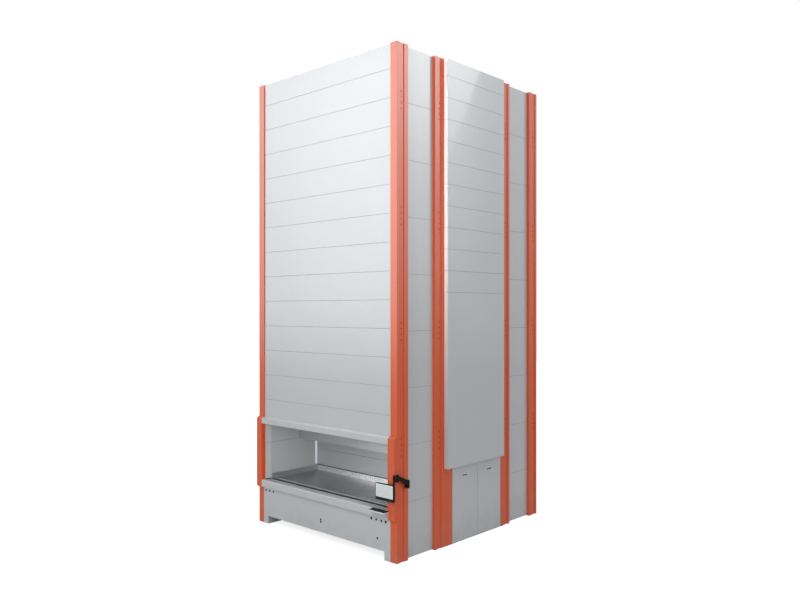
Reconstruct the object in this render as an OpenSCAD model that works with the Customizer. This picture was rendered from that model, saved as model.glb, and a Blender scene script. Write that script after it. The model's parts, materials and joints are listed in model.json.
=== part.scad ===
// Vertical lift module: a tall free-standing store. Trays lie on ledges in a front and a rear column,
// and a lift carriage in the shaft between them brings one tray at a time to the access opening.
// Millimetres. The origin is on the floor, under the middle of the whole outline. -Y is the access side.

/* [Overall] */
// Height of the posts above the floor
unit_h = 6300; // [5600:50:7000]
// Width over the outer faces of the posts
unit_w = 2730; // [2500:10:3000]
// Thickness of the folded sheets
sheet = 2; // [1.5:0.25:3]
// Gap between neighbouring panels
seam = 3; // [2:0.5:5]
// Clearance between pieces that slide on each other
slip = 0.3; // [0.2:0.05:0.6]
// Gap at the butt joints between beams, rails and ledges
butt = 0.2; // [0.1:0.1:0.5]
// Clearance between a shaft and its bore, on the radius
run_fit = 0.05; // [0.02:0.01:0.08]

/* [Posts] */
// Width of a post across the front
post_w = 110; // [90:1:130]
// Depth of a corner post along the side
corner_post_d = 200; // [180:1:230]
// Depth of a mid post along the side
mid_post_d = 222; // [190:1:250]
// Wall of the folded posts
post_wall = 4; // [3:0.5:6]
// Distance of the channel from the edge of its post
groove_in = 48; // [35:1:60]
// Width of the channel in a post
groove_w = 80; // [60:1:100]
// Depth of the channel in a post
groove_depth = 10; // [6:1:16]
// Thickness of the foot plate welded under a post
foot_t = 8; // [6:1:12]

/* [Bays and panels] */
// Width of a side bay between its two posts
bay_w = 512; // [450:1:580]
// Depth of the lift shaft between the mid posts
shaft_w = 1212; // [1150:1:1300]
// How far the bay panels lie behind the posts' outer faces
bay_recess = 44; // [38:1:60]
// How far the front and rear panels lie behind the posts' faces
face_recess = 15; // [8:1:25]
// Depth of the folded edges of the panels
flange = 25; // [18:1:35]
// Drop of the panels' upper edges below the post tops
panel_drop = 8; // [4:1:16]
// Gap between the side panels and the floor
floor_gap = 8; // [7:1:30]
// Height of one front strip
front_pitch = 351.5; // [300:0.5:400]
// Height of the shorter top strip on the front
front_top = 296; // [200:1:340]
// Height of one bay panel
bay_pitch = 702; // [600:1:800]
// Height of the top bay panel
bay_top = 684; // [500:1:700]
// Height of one cover strip
cover_pitch = 278.4; // [240:0.2:320]
// Height of the top cover strip
cover_top = 220; // [160:1:270]
// Number of cover strips above the tall lower sheet
cover_strips = 11; // [8:1:13]
// How far the centre cover stands proud of the posts
cover_proud = 61; // [50:1:75]
// Lap of the centre cover over the front mid post
cover_lap = 39; // [25:1:60]

/* [Access opening] */
// Height of the sill's top plate above the floor
sill_z = 625; // [600:1:660]
// Height of the lintel's lower edge
lintel_z = 1434; // [1350:1:1500]
// Height of the lintel with its slanted top
lintel_h = 92; // [75:1:120]
// Height of the slanted top of the lintel
lintel_bevel = 18; // [10:1:30]
// How far guards, sill and lintel stand proud of the posts
front_proud = 45; // [35:1:60]
// Height of the sill's fascia
fascia_h = 100; // [80:1:120]
// Bevel along the sill's front edge
sill_bevel = 12; // [6:1:20]
// Depth of the sill's top plate behind the posts' front
sill_d = 80; // [60:1:90]
// Lower end of the guards
guard_z0 = 498; // [480:1:515]
// Upper end of the guards
guard_z1 = 1534; // [1500:1:1560]
// Rise of the guards' slanted ends
guard_slant = 28; // [20:1:45]
// Wall of the guards
guard_wall = 3; // [2:0.5:4]
// Depth of the guard's inner face behind the posts' front
guard_tail = 8; // [6:0.5:14]
// Pitch of the sensor windows in the guard
window_pitch = 18; // [14:1:24]
// Side of one square sensor window
window_w = 9; // [6:0.5:11]
// Distance of the opening's linings from the posts' outer faces
lining_in = 170; // [150:1:190]
// Flare of the linings towards the guards
lining_flare = 36; // [20:1:45]
// Distance of the hood's baffle behind the posts' front
hood_y = 592; // [520:1:650]
// Height of the hood's lower edge
hood_z = 1154; // [1120:1:1200]
// Height of the seam across the hatch
hatch_seam_z = 950; // [850:1:1050]
// Thickness of the hatch
hatch_t = 20; // [14:1:26]
// Free height under the base panel
base_clear = 110; // [90:1:140]
// Width of the base panel's feet
foot_w = 100; // [80:1:130]
// Depth of the base panel's feet
foot_d = 230; // [180:1:238]

/* [Controls] */
// Reach of the keypad shelf in front of the posts
shelf_reach = 133; // [115:1:150]
// Width of the keypad
keypad_w = 257; // [220:1:300]
// Depth of the keypad
keypad_d = 96; // [80:1:110]
// Distance of the keypad from the right post's outer face
keypad_in = 98; // [85:1:120]
// Thickness of the keypad
keypad_t = 10; // [8:1:16]
// Radius of the push buttons
button_r = 12; // [9:0.5:15]
// How far a push button stands out
button_proud = 8; // [6:0.5:12]
// Drop of the button row below the sill
button_drop = 51; // [40:1:70]
// Distance of the nearer button from the right post's outer face
button_edge = 188; // [170:1:210]
// Distance between the two buttons
button_span = 247; // [200:1:280]
// Distance of the first left plug from the left post's outer face
plug_edge = 157; // [140:1:180]
// Pitch of the left plugs
plug_pitch = 84; // [60:1:95]
// Drop of the lower plugs below the button row
low_plug_drop = 226; // [180:1:260]
// Radius of the small plugs
plug_r = 11; // [7:0.5:13]
// Width of the screen
screen_w = 304; // [280:1:330]
// Height of the screen
screen_h = 202; // [180:1:230]
// Thickness of the screen's housing
screen_t = 26; // [20:1:32]
// Width of the screen's rim left of its glass and above it
screen_rim = 9; // [6:0.5:14]
// Width of the screen's rim right of its glass
screen_side = 14; // [8:0.5:20]
// Width of the screen's rim below its glass
screen_chin = 22; // [14:1:30]
// Thickness of the screen's glass
glass_t = 3; // [2:0.5:5]
// Height of the screen's middle above the floor
screen_z = 866; // [830:1:900]
// Radius of the arm's pivots
pivot_r = 12; // [9:0.5:14]
// Wall around the arm's pivots
pivot_wall = 9; // [6:0.5:11]
// Rise of the arm's first link
arm_rise = 100; // [90:1:115]
// Reach of the arm's first link
arm_reach = 190; // [180:1:200]
// Reach of the screen's face in front of the posts
screen_reach = 104; // [104:1:115]
// Tilt of the screen either way, in degrees
screen_tilt = 10; // [5:1:10]

/* [Service doors] */
// Width of the orange strip beside the doors
strip_w = 121; // [90:1:160]
// Height of the doors' upper edge
door_top = 1003; // [950:1:1050]
// Thickness of the doors
door_t = 20; // [16:1:26]
// Gap around the doors
door_gap = 6; // [5.5:0.5:9]
// Radius of the hinge pins
pin_r = 5; // [4:0.5:6]
// Length of a hinge pin inside the door
pin_in = 14; // [10:1:20]
// Width of a recessed pull
pull_w = 110; // [90:1:140]
// Height of a recessed pull
pull_h = 25; // [20:1:32]
// Depth of a recessed pull
pull_d = 13; // [9:1:14]
// Height of the pulls above the floor
pull_z = 863; // [780:1:900]

/* [Trays and racks] */
// Gap between a tray and the linings
tray_gap = 8; // [5:0.5:12]
// Front edge of the trays behind the posts' front
tray_front = 88; // [84:1:110]
// Reach of the trays past the mid posts
tray_over = 24; // [10:1:28]
// Height of the trays
tray_h = 80; // [65:1:84]
// Height of a tray's low front lip
tray_lip = 34; // [28:1:45]
// Depth of the bead along the front lip
tray_nose = 14; // [8:1:18]
// Height of that bead
tray_bead = 12; // [8:1:16]
// Width of the rims folded in along a tray's walls
tray_rim = 14; // [8:1:22]
// Drop of the tray's underside below the sill
tray_drop = 5; // [2:1:12]
// Width of a ledge
ledge_w = 35; // [28:1:45]
// Height of the ledges' folded lip
ledge_lip = 14; // [8:1:20]
// Pitch of the ledges in the racks
ledge_pitch = 150; // [130:5:200]
// Lowest ledge of the front racks
front_rack_z = 1680; // [1660:10:1750]
// Lowest ledge of the rear racks
rear_rack_z = 480; // [420:10:600]

/* [Lift] */
// Radius of the belt pulleys
pulley_r = 60; // [50:1:70]
// Thickness of the lift belts
belt_t = 5; // [3:0.5:7]
// Width of the lift belts
belt_w = 30; // [24:1:34]
// Distance of belts and guide rails from the posts' outer faces
belt_in = 60; // [55:1:64]
// Height of the drive shaft
drive_z = 180; // [175:1:188]
// Radius of the drive shaft
shaft_r = 20; // [16:0.5:24]
// Drop of the idlers' axis below the post tops
idler_drop = 250; // [220:1:300]
// Height of the frame beams
beam_h = 80; // [60:1:86]
// Width of the frame beams
beam_w = 60; // [50:1:70]
// Wall of the frame beams
beam_wall = 4; // [3:0.5:6]
// Gap between the carriage and the mid posts' faces
carriage_gap = 76; // [70:1:90]
// Thickness of the carriage's side plates
side_t = 6; // [4:0.5:8]
// Height of the side plates above the tray level
side_up = 280; // [220:1:340]
// Height of the carriage's cross beams
cross_h = 70; // [50:1:80]
// Height of the carriage's rails
rail_h = 60; // [54:1:70]
// Radius of the extractor's belt pulleys
extractor_r = 22; // [18:0.5:24]
// Radius of the extractor's shaft
extractor_shaft_r = 12; // [9:0.5:14]
// Thickness of the extractor bar
extractor_bar_t = 15; // [12:0.5:18]

/* [Hidden] */
$fn = 48;
eps = 1;
unit_d = 2 * (corner_post_d + bay_w + mid_post_d) + shaft_w;
front_y = (shelf_reach - unit_d) / 2;
side_x = unit_w / 2;
post_in = side_x - post_w;
column_d = corner_post_d + bay_w + mid_post_d;
mid_front = corner_post_d + bay_w;
shaft_mid = fy(unit_d / 2);
panel_top = unit_h - panel_drop;
lining_x = side_x - lining_in;
guard_x = post_in - guard_wall;
lintel_top = lintel_z + lintel_h;
sill_bottom = sill_z - fascia_h;
base_top = sill_bottom + 4;
ceiling_z = lintel_top + 15;
ceiling_y = fy(face_recess + flange + 5);
least_strip = 90;
cover_y = [fy(column_d - cover_lap), fy(column_d + shaft_w)];
cover_bottom = door_top + 7;
cover_lip = 20;

// Doors stand between the orange strip and the rear mid post
strip_end = fy(column_d) + strip_w;
door_y0 = strip_end + door_gap;
door_y1 = fy(column_d + shaft_w) - door_gap;
door_mid = (door_y0 + door_y1) / 2;
pivot_in = door_t / 2;
door_plate = 3;
frame_in = door_t + 10;

// Trays
tray_z = sill_z - tray_drop;
tray_x = lining_x - tray_gap;
tray_y = [fy(tray_front), fy(column_d + tray_over)];
tray_sheet = sheet;
hatch_y = tray_y[1] + 8;
hatch_guide_x = lining_x + 30;
guide_wall = 4;
hatch_travel = 450;
rack_y = [fy(tray_front - 3), fy(column_d) - 2];

// Belts and guide rails share one plane beside the carriage
belt_x = side_x - belt_in;
idler_z = unit_h - idler_drop;
strand_in = pulley_r + slip;
strand_out = strand_in + belt_t;
flange_r = pulley_r + belt_t + 3;
pulley_w = belt_w + 8;
idler_axle_r = 15;
gear_half = 78;
motor_r = 64;
motor_l = 350;
base_z = [20, 20 + beam_h];
top_z = [panel_top - 6 - beam_h, panel_top - 6];
guide_web = 40;
guide_foot = 6;
guide_half = 5;
guide_w = belt_in - frame_in - 2;
clamp_h = 100;
lift_travel = idler_z - 150 - tray_z - clamp_h;
rack_top = tray_z + lift_travel + 40;

// Carriage, drawn at the level of the access opening
carriage_y = [fy(column_d) + carriage_gap, fy(column_d + shaft_w) - carriage_gap];
side_in = lining_x + 5;
side_out = side_in + side_t;
rail_top = tray_z - 20;
cross_top = rail_top - rail_h;
cross_bottom = cross_top - cross_h;
shoe_h = 80;
shoe_half = 20;
shoe_grip = 25;
shoe_back = 25;
shoe_y = fy(column_d) + guide_foot + guide_web;
cross_w = 60;
cross_y = [carriage_y[0] + 50, carriage_y[1] - 50 - cross_w];
rail_x = [480, 520];
extractor_x = 700;
extractor_belt_w = 20;
extractor_belt_t = 3;
cheek_t = 6;
extractor_z = rail_top - extractor_r - extractor_belt_t - 2;
extractor_y = [cross_y[0] + cross_w / 2, cross_y[1] + cross_w / 2];

// Screen arm, beside the right front post
arm_x = side_x + 34;
shoulder_y = fy(corner_post_d - 40);
elbow_y = shoulder_y - arm_reach;
arm_z = screen_z + 88;
elbow_z = arm_z + arm_rise;
boss_r = pivot_r + pivot_wall;
boss_h = 76;
elbow_h = 64;
elbow_low = elbow_z - 36;
link_half = 13;
bracket_t = 8;
seat_t = 18;
seat_z = arm_z - boss_h / 2 - 2;
tilt_r = 5;
screen_back = fy(-screen_reach) + screen_t;
tilt_y = screen_back + 14;
screen_x1 = side_x + 41;
glass_x = [screen_x1 - screen_w + screen_rim, screen_x1 - screen_side];
glass_z = [screen_z - screen_h / 2 + screen_chin, screen_z + screen_h / 2 - screen_rim];
hang_x = [arm_x - 50, arm_x - 24];
knuckle = [hang_x[0] + 5, hang_x[1] - 5];
knuckle_r = tilt_r + 7;
// The hanging bar lies between the guard and the screen's upper edge at full tilt
tilt_sweep = screen_h / 2 * sin(screen_tilt) - (tilt_y - screen_back) * cos(screen_tilt);
hang_y = [tilt_y + tilt_sweep + 3, tilt_y + tilt_sweep + 13];

// Buttons and plugs sit in a row under the sill, the rest of the plugs lower down
button_z = sill_bottom - button_drop;
button_in = [button_edge, button_edge + button_span];
right_plugs = [side_x - button_edge - button_span * 0.3, side_x - button_edge - button_span * 0.66];
left_plugs = [plug_edge - side_x, plug_edge + plug_pitch - side_x, plug_edge + 2 * plug_pitch - side_x];
low_plugs = [
    [right_plugs[1] + plug_r * 1.8, button_z - low_plug_drop],
    [-plug_r * 1.8, button_z - low_plug_drop],
    [-plug_r * 1.8, button_z - low_plug_drop + plug_r * 2.7]
];
plug_spots = concat([for (x = concat(right_plugs, left_plugs)) [x, button_z]], low_plugs);

grey = [0.80, 0.81, 0.83];
orange = [0.80, 0.31, 0.17];
steel = [0.62, 0.63, 0.65];
black = [0.06, 0.06, 0.06];

// Place behind the posts' front face
function fy(d) = front_y + d;
function span(a, b) = [min(a, b), max(a, b)];
function behind(y) = span(2 * shaft_mid - y[0], 2 * shaft_mid - y[1]);
function unit(v) = v / norm(v);
function left_of(v) = [-v[1], v[0]];

// Corner of a folded sheet's second face, mitred between its two runs
function fold_point(p, i, t) =
    let (a = left_of(unit(i > 0 ? p[i] - p[i - 1] : p[1] - p[0])))
    let (b = left_of(unit(i < len(p) - 1 ? p[i + 1] - p[i] : p[i] - p[i - 1])))
    p[i] + t * (a + b) / (1 + a * b);

// Seam heights from the top down, with the ends, leaving no sliver at the bottom
function levels(top, first, pitch, bottom) =
    concat([top], [for (z = top - first; z > bottom + least_strip; z = z - pitch) z], [bottom]);

function ledge_levels(z0) = [for (z = z0; z < rack_top - ledge_pitch / 2; z = z + ledge_pitch) z];

module rect(x, y) translate([x[0], y[0]]) square([x[1] - x[0], y[1] - y[0]]);
module block(x, y, z) translate([x[0], y[0], z[0]]) cube([x[1] - x[0], y[1] - y[0], z[1] - z[0]]);
module run_x(x) translate([x[0], 0, 0]) rotate([90, 0, 90]) linear_extrude(x[1] - x[0]) children();
module run_y(y) translate([0, y[1], 0]) rotate([90, 0, 0]) linear_extrude(y[1] - y[0]) children();
module run_z(z) translate([0, 0, z[0]]) linear_extrude(z[1] - z[0]) children();
module rod_x(x, r) translate([x[0], 0, 0]) rotate([0, 90, 0]) cylinder(h = x[1] - x[0], r = r);
module rod_y(y, r) translate([0, y[1], 0]) rotate([90, 0, 0]) cylinder(h = y[1] - y[0], r = r);
module both_sides() {
    children();
    mirror([1, 0, 0]) children();
}

// Sheet of thickness t folded along a path, with its second face to the left of the path
module folded(path, t = sheet) {
    polygon(concat(path, [for (i = [len(path) - 1:-1:0]) fold_point(path, i, t)]));
}

// Rectangular hollow section
module hollow(x, y, t) {
    difference() {
        rect(x, y);
        rect([x[0] + t, x[1] - t], [y[0] + t, y[1] - t]);
    }
}

// Folded post: a closed section with a channel pressed into its outer face
module post_section(y, channel) {
    difference() {
        rect([post_in, side_x], y);
        rect([side_x - groove_depth, side_x + eps], channel);
        difference() {
            rect([post_in + post_wall, side_x - post_wall], [y[0] + post_wall, y[1] - post_wall]);
            rect(
                [side_x - groove_depth - post_wall, side_x],
                [channel[0] - post_wall, channel[1] + post_wall]
            );
        }
    }
}

module post_pair(y, channel) {
    both_sides() {
        run_z([foot_t - eps, unit_h]) post_section(y, channel);
        run_z([0, foot_t]) difference() {
            rect([post_in, side_x], y);
            rect([side_x - groove_depth, side_x + eps], channel);
        }
    }
}

corner_y = [fy(0), fy(corner_post_d)];
corner_groove = [fy(groove_in), fy(groove_in + groove_w)];

module front_posts() {
    color(orange) post_pair(corner_y, corner_groove);
}

module rear_posts() {
    color(orange) post_pair(behind(corner_y), behind(corner_groove));
}

mid_front_y = [fy(mid_front), fy(column_d)];
mid_groove = [fy(mid_front + groove_in), fy(mid_front + groove_in + groove_w)];

module mid_posts() {
    color(orange) {
        post_pair(mid_front_y, mid_groove);
        post_pair(behind(mid_front_y), behind(mid_groove));
    }
}

// Beams between the posts, each a hollow section
frame_side = [post_in - beam_w, post_in];
cross_beams = [fy(column_d) - beam_w, fy(column_d + shaft_w)];

module frame_beams(z, cross) {
    both_sides() run_y([fy(foot_d + 15), fy(unit_d - face_recess - flange - 5)])
        hollow(frame_side, z, beam_wall);
    for (y = cross) {
        run_x([butt - frame_side[0], frame_side[0] - butt]) hollow([y, y + beam_w], z, beam_wall);
    }
}

module base_frame() {
    middle = shaft_mid - beam_w / 2;
    front = fy(foot_d + 15);
    color(steel) frame_beams(base_z, concat([front, middle, fy(unit_d - foot_d)], cross_beams));
}

module top_frame() {
    color(steel) frame_beams(top_z, concat([fy(foot_d + 15), fy(unit_d - foot_d)], cross_beams));
}

// Strips with folded upper and lower edges, from the top down
module front_strips(bottom, face, back) {
    z = levels(panel_top, front_top, front_pitch, bottom);
    for (i = [0:len(z) - 2]) {
        top = z[i] - (i == 0 ? 0 : seam / 2);
        low = z[i + 1] + (i == len(z) - 2 ? 0 : seam / 2);
        edge = face < back ? [top, low] : [low, top];
        run_x([-post_in, post_in])
            folded([[back, edge[0]], [face, edge[0]], [face, edge[1]], [back, edge[1]]]);
    }
}

module front_panels() {
    color(grey) front_strips(lintel_top, fy(face_recess), fy(face_recess + flange));
}

module rear_panels() {
    color(grey) front_strips(floor_gap, fy(unit_d - face_recess), fy(unit_d - face_recess - flange));
}

module bay_strips(y) {
    face = side_x - bay_recess;
    back = face - flange;
    z = levels(panel_top, bay_top, bay_pitch, floor_gap);
    both_sides() for (i = [0:len(z) - 2]) {
        top = z[i] - (i == 0 ? 0 : seam / 2);
        low = z[i + 1] + (i == len(z) - 2 ? 0 : seam / 2);
        run_y(y) folded([[back, low], [face, low], [face, top], [back, top]]);
    }
}

bay_y = [fy(corner_post_d), fy(mid_front)];

module front_bay_panels() {
    color(grey) bay_strips(bay_y);
}

module rear_bay_panels() {
    color(grey) bay_strips(behind(bay_y));
}

// Proud cover over the lift shaft: short strips above, one tall sheet below
module cover_strips_to(bottom) {
    face = side_x + cover_proud;
    path = [[side_x, cover_y[0]], [face, cover_y[0]], [face, cover_y[1]], [side_x - cover_lip, cover_y[1]]];
    seams = [for (i = [0:cover_strips - 1]) panel_top - cover_top - i * cover_pitch];
    z = concat([panel_top], seams, [bottom]);
    for (i = [0:len(z) - 2]) {
        top = z[i] - (i == 0 ? 0 : seam / 2);
        low = z[i + 1] + (i == len(z) - 2 ? 0 : seam / 2);
        run_z([low, top]) folded(path);
    }
    block([side_x, face - sheet], [cover_y[0] + sheet, cover_y[1] - sheet], [bottom, bottom + sheet]);
}

module right_cover_panels() {
    color(grey) cover_strips_to(cover_bottom);
}

module left_cover_panels() {
    color(grey) mirror([1, 0, 0]) cover_strips_to(floor_gap);
}

module roof_panel() {
    main_x = side_x - bay_recess - flange;
    main_y = [fy(face_recess + flange), fy(unit_d - face_recess - flange)];
    cover_in = side_x + cover_proud - sheet - 1;
    color(grey) run_z([top_z[1], top_z[1] + sheet]) difference() {
        union() {
            rect([-main_x, main_x], main_y);
            rect([-cover_in, cover_in], [cover_y[0] + sheet + 1, cover_y[1] - sheet - 1]);
        }
        both_sides() {
            for (y = [corner_y, mid_front_y]) {
                rect([post_in, side_x], y);
                rect([post_in, side_x], behind(y));
            }
        }
    }
}

// Folded beam above the access opening, with a slanted top
module lintel() {
    front = fy(-front_proud);
    back = fy(face_recess + sheet);
    color(grey) run_x([-guard_x, guard_x]) folded([
        [back, lintel_top], [front, lintel_top - lintel_bevel], [front, lintel_z], [back, lintel_z]
    ]);
}

// Folded ledge below the access opening
module sill() {
    front = fy(-front_proud);
    back = fy(sill_d);
    color(grey) run_x([-guard_x, guard_x]) folded([
        [back, sill_z - 40], [back, sill_z], [front + sill_bevel, sill_z],
        [front, sill_z - sill_bevel], [front, sill_bottom], [fy(0), sill_bottom]
    ]);
}

// Base panel on two feet, bored for the push buttons
module base_panel() {
    feet_x = post_in - foot_w;
    color(grey) difference() {
        union() {
            block([-post_in, post_in], [fy(0), fy(sheet)], [0, base_top]);
            both_sides() block([feet_x - sheet, feet_x], [fy(0), fy(foot_d)], [0, base_clear]);
            block([-feet_x, feet_x], [fy(0), fy(flange)], [base_clear, base_clear + sheet]);
        }
        block([sheet - feet_x, feet_x - sheet], [fy(-eps), fy(sheet + eps)], [-eps, base_clear]);
        for (x = button_in) {
            translate([side_x - x, 0, button_z]) rod_y([fy(-eps), fy(sheet + eps)], button_r + slip);
        }
    }
}

// Hollow guard over a front post: slanted ends, open back, a row of sensor windows towards the opening
// and a return that hides the lining's front edge
module guard() {
    front = fy(-front_proud);
    windows = floor((lintel_z - sill_z - 40) / window_pitch);
    window_mid = fy(-front_proud / 2);
    window_y = [window_mid - window_w / 2, window_mid + window_w / 2];
    difference() {
        union() {
            run_x([guard_x, side_x]) polygon([
                [fy(0), guard_z0], [fy(0), guard_z1],
                [front, guard_z1 - guard_slant], [front, guard_z0 + guard_slant]
            ]);
            block([guard_x, post_in], [fy(-eps), fy(guard_tail)], [base_top, guard_z1]);
            block(
                [lining_x + lining_flare, post_in], [fy(guard_tail) - guard_wall, fy(guard_tail)],
                [sill_z + butt, lintel_z - butt]
            );
        }
        run_x([post_in, side_x - guard_wall]) polygon([
            [fy(eps), guard_z0 + guard_wall], [fy(eps), guard_z1 - guard_wall],
            [front + guard_wall, guard_z1 - guard_slant - guard_wall],
            [front + guard_wall, guard_z0 + guard_slant + guard_wall]
        ]);
        for (i = [0:windows - 1]) {
            z = sill_z + 30 + i * window_pitch;
            block([guard_x - eps, post_in + eps], window_y, [z, z + window_w]);
        }
    }
}

module right_guard() {
    color(orange) guard();
}

module left_guard() {
    color(orange) mirror([1, 0, 0]) guard();
}

// Sensor bars behind the windows, against the guards' inner faces
module light_curtains() {
    color(black) both_sides() block(
        [post_in, post_in + 32], [fy(-front_proud + guard_wall), fy(0)],
        [sill_z + 10, lintel_z - 10]
    );
}

// Side walls of the opening, each in two sheets, and the ledges that carry the tray
module opening_linings() {
    y = [fy(guard_tail) + butt, hatch_y - guide_wall];
    path = [
        [lining_x + flange, y[1]], [lining_x, y[1]], [lining_x, fy(sill_d)],
        [lining_x + lining_flare, y[0]], [guard_x, y[0]]
    ];
    color(grey) both_sides() {
        difference() {
            run_z([sill_bottom + 30, hood_z - seam / 2]) folded(path);
            block([0, side_x], [y[0] - eps, fy(sill_d)], [0, sill_z]);
        }
        difference() {
            run_z([hood_z + seam / 2, ceiling_z]) folded(path);
            block([0, side_x], [y[0] - eps, ceiling_y], [lintel_z - butt, ceiling_z + eps]);
        }
        run_y([fy(tray_front), y[1]]) ledge_section(tray_z - slip);
    }
}

// Ledge with a folded lip, in the plane across the unit
module ledge_section(z) {
    inner = lining_x - ledge_w;
    folded([[lining_x - butt, z], [inner, z], [inner, z - ledge_lip]]);
}

// Ceiling of the opening and the hanging baffle behind it
module hood() {
    x = [-lining_x, lining_x];
    baffle = [fy(hood_y), fy(hood_y) + sheet];
    color(grey) {
        block(x, [ceiling_y, baffle[0] - butt], [ceiling_z - sheet, ceiling_z]);
        block(x, baffle, [hood_z, ceiling_z]);
        block(x, [baffle[1] + butt, hatch_y - 6], [hood_z, hood_z + sheet]);
    }
}

module light_strips() {
    strip_y = [hatch_y - 54, hatch_y - 14];
    color("white") both_sides()
        block([lining_x - 10, lining_x], strip_y, [tray_z + tray_h + 6, hood_z - 4]);
}

// Channels on the rear edges of the linings, in which the hatch runs
module hatch_guides() {
    y = [hatch_y - guide_wall, hatch_y + hatch_t + guide_wall];
    color(steel) both_sides() run_z([tray_z + tray_h + 6, hood_z + hatch_travel + 10]) difference() {
        rect([lining_x + sheet, hatch_guide_x], y);
        rect([lining_x, hatch_guide_x - guide_wall], [hatch_y - slip, hatch_y + hatch_t + slip]);
    }
}

// Hatch between opening and shaft: two folded panels on two stiles
module hatch() {
    low = tray_z + tray_h + 6;
    back = hatch_y + hatch_t;
    stile = [lining_x + 4, hatch_guide_x - guide_wall - 1];
    bands = [[low, hatch_seam_z - seam / 2], [hatch_seam_z + seam / 2, hood_z - 2]];
    color(grey) {
        for (z = bands) {
            run_x([-stile[0], stile[0]])
                folded([[back, z[1]], [hatch_y, z[1]], [hatch_y, z[0]], [back, z[0]]]);
        }
        both_sides() block(stile, [hatch_y, back], [low, hood_z - 2]);
    }
}

// Rack: a folded spine on the posts' inner faces, with ledges for the trays
module rack_pair(y, z0) {
    path = [[post_in, y[1]], [lining_x, y[1]], [lining_x, y[0]], [post_in, y[0]]];
    both_sides() {
        run_z([z0 - 40, rack_top]) folded(path);
        for (z = ledge_levels(z0)) {
            run_y(y) ledge_section(z - slip);
        }
    }
}

module front_racks() {
    color(steel) rack_pair(rack_y, front_rack_z);
}

module rear_racks() {
    color(steel) rack_pair(behind(rack_y), rear_rack_z);
}

// Tee rails on the shaft faces of the mid posts
module guide_rail_section() {
    y = fy(column_d);
    rect([belt_x - guide_w, belt_x + guide_w], [y, y + guide_foot]);
    rect([belt_x - guide_half, belt_x + guide_half], [y + guide_foot - eps, y + guide_foot + guide_web]);
}

// Mirrored about the shaft's middle, so that a tray's low lip faces the rear panels
module at_rear() translate([0, 2 * shaft_mid, 0]) mirror([0, 1, 0]) children();

module both_ends() {
    children();
    at_rear() children();
}

module guide_rails() {
    color(steel) both_sides() both_ends() run_z([base_z[1], top_z[0]]) guide_rail_section();
}

// Belt loop between two pulleys, as a ring with round ends
module loop(r, low, high) {
    translate([shaft_mid, low]) circle(r);
    translate([shaft_mid, high]) circle(r);
    rect([shaft_mid - r, shaft_mid + r], [low, high]);
}

module lift_belts() {
    color(black) both_sides() run_x([belt_x - belt_w / 2, belt_x + belt_w / 2]) difference() {
        loop(strand_out, drive_z, idler_z);
        loop(strand_in, drive_z, idler_z);
    }
}

// Flanged pulley on the belt's plane
module pulley(bore) {
    x = [belt_x - pulley_w / 2, belt_x + pulley_w / 2];
    difference() {
        union() {
            rod_x(x, pulley_r);
            rod_x([x[0], x[0] + 3], flange_r);
            rod_x([x[1] - 3, x[1]], flange_r);
        }
        rod_x([x[0] - eps, x[1] + eps], bore);
    }
}

module at_drive() translate([0, shaft_mid, drive_z]) children();
module at_idler() translate([0, shaft_mid, idler_z]) children();

module drive_shaft() {
    reach = belt_x + pulley_w / 2;
    color(steel) at_drive() rod_x([-reach, reach], shaft_r);
}

module drive_pulleys() {
    color(steel) both_sides() at_drive() pulley(shaft_r);
}

module top_idlers() {
    color(steel) both_sides() at_idler() pulley(idler_axle_r + run_fit);
}

// Pillow blocks on the base frame
module shaft_bearings() {
    x = [frame_side[0] + 8, frame_side[1] - 8];
    housing = shaft_r + 26;
    color(steel) both_sides() difference() {
        union() {
            at_drive() rod_x(x, housing);
            block(x, [shaft_mid - 75, shaft_mid + 75], [base_z[1], base_z[1] + 24]);
            block(x, [shaft_mid - housing, shaft_mid + housing], [base_z[1], drive_z]);
        }
        at_drive() rod_x([x[0] - eps, x[1] + eps], shaft_r + run_fit);
    }
}

// Hangers under the top frame, each with a stub axle
module idler_brackets() {
    plate = [frame_side[1] - 26, frame_side[1] - 6];
    color(steel) both_sides() {
        block(plate, [shaft_mid - 60, shaft_mid + 60], [idler_z - 60, top_z[0]]);
        at_idler() rod_x([plate[1] - eps, belt_x + pulley_w / 2], idler_axle_r);
    }
}

// Gear unit hung on the drive shaft, with its motor lying along the shaft's side
module lift_gear_motor() {
    x = [frame_side[0] - 295, frame_side[0] - 155];
    color(steel) difference() {
        union() {
            block(x, [shaft_mid - gear_half, shaft_mid + gear_half], [base_z[1], drive_z + motor_r + 6]);
            translate([(x[0] + x[1]) / 2, 0, drive_z]) {
                rod_y([shaft_mid + gear_half - eps, shaft_mid + motor_l], motor_r);
                rod_y([shaft_mid + motor_l - eps, shaft_mid + motor_l + 50], motor_r - 4);
            }
        }
        at_drive() rod_x([x[0] - eps, x[1] + eps], shaft_r + run_fit);
    }
}

// Welded carriage: side plates, cross beams, rails for the extractor, ledges for the tray
module carriage_frame() {
    stand_y = [shoe_y + shoe_back, carriage_y[0] + 30];
    stand_z = [cross_bottom + 10, tray_z + side_up - 10];
    color(steel) {
        both_sides() {
            block([side_in, side_out], carriage_y, [cross_bottom, tray_z + side_up]);
            run_y(carriage_y) translate([side_in - lining_x, 0]) ledge_section(tray_z - slip);
            both_ends() block([side_out + butt, belt_x + shoe_half], stand_y, stand_z);
            difference() {
                run_y([cross_y[0], cross_y[1] + cross_w])
                    hollow(rail_x, [cross_top + butt, rail_top], beam_wall);
                translate([0, extractor_y[1], extractor_z]) rod_x([0, side_x], extractor_shaft_r + run_fit);
            }
            return_shoe();
        }
        for (y = cross_y) {
            run_x([butt - side_in, side_in - butt])
                hollow([y, y + cross_w], [cross_bottom, cross_top], beam_wall);
        }
    }
}

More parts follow.
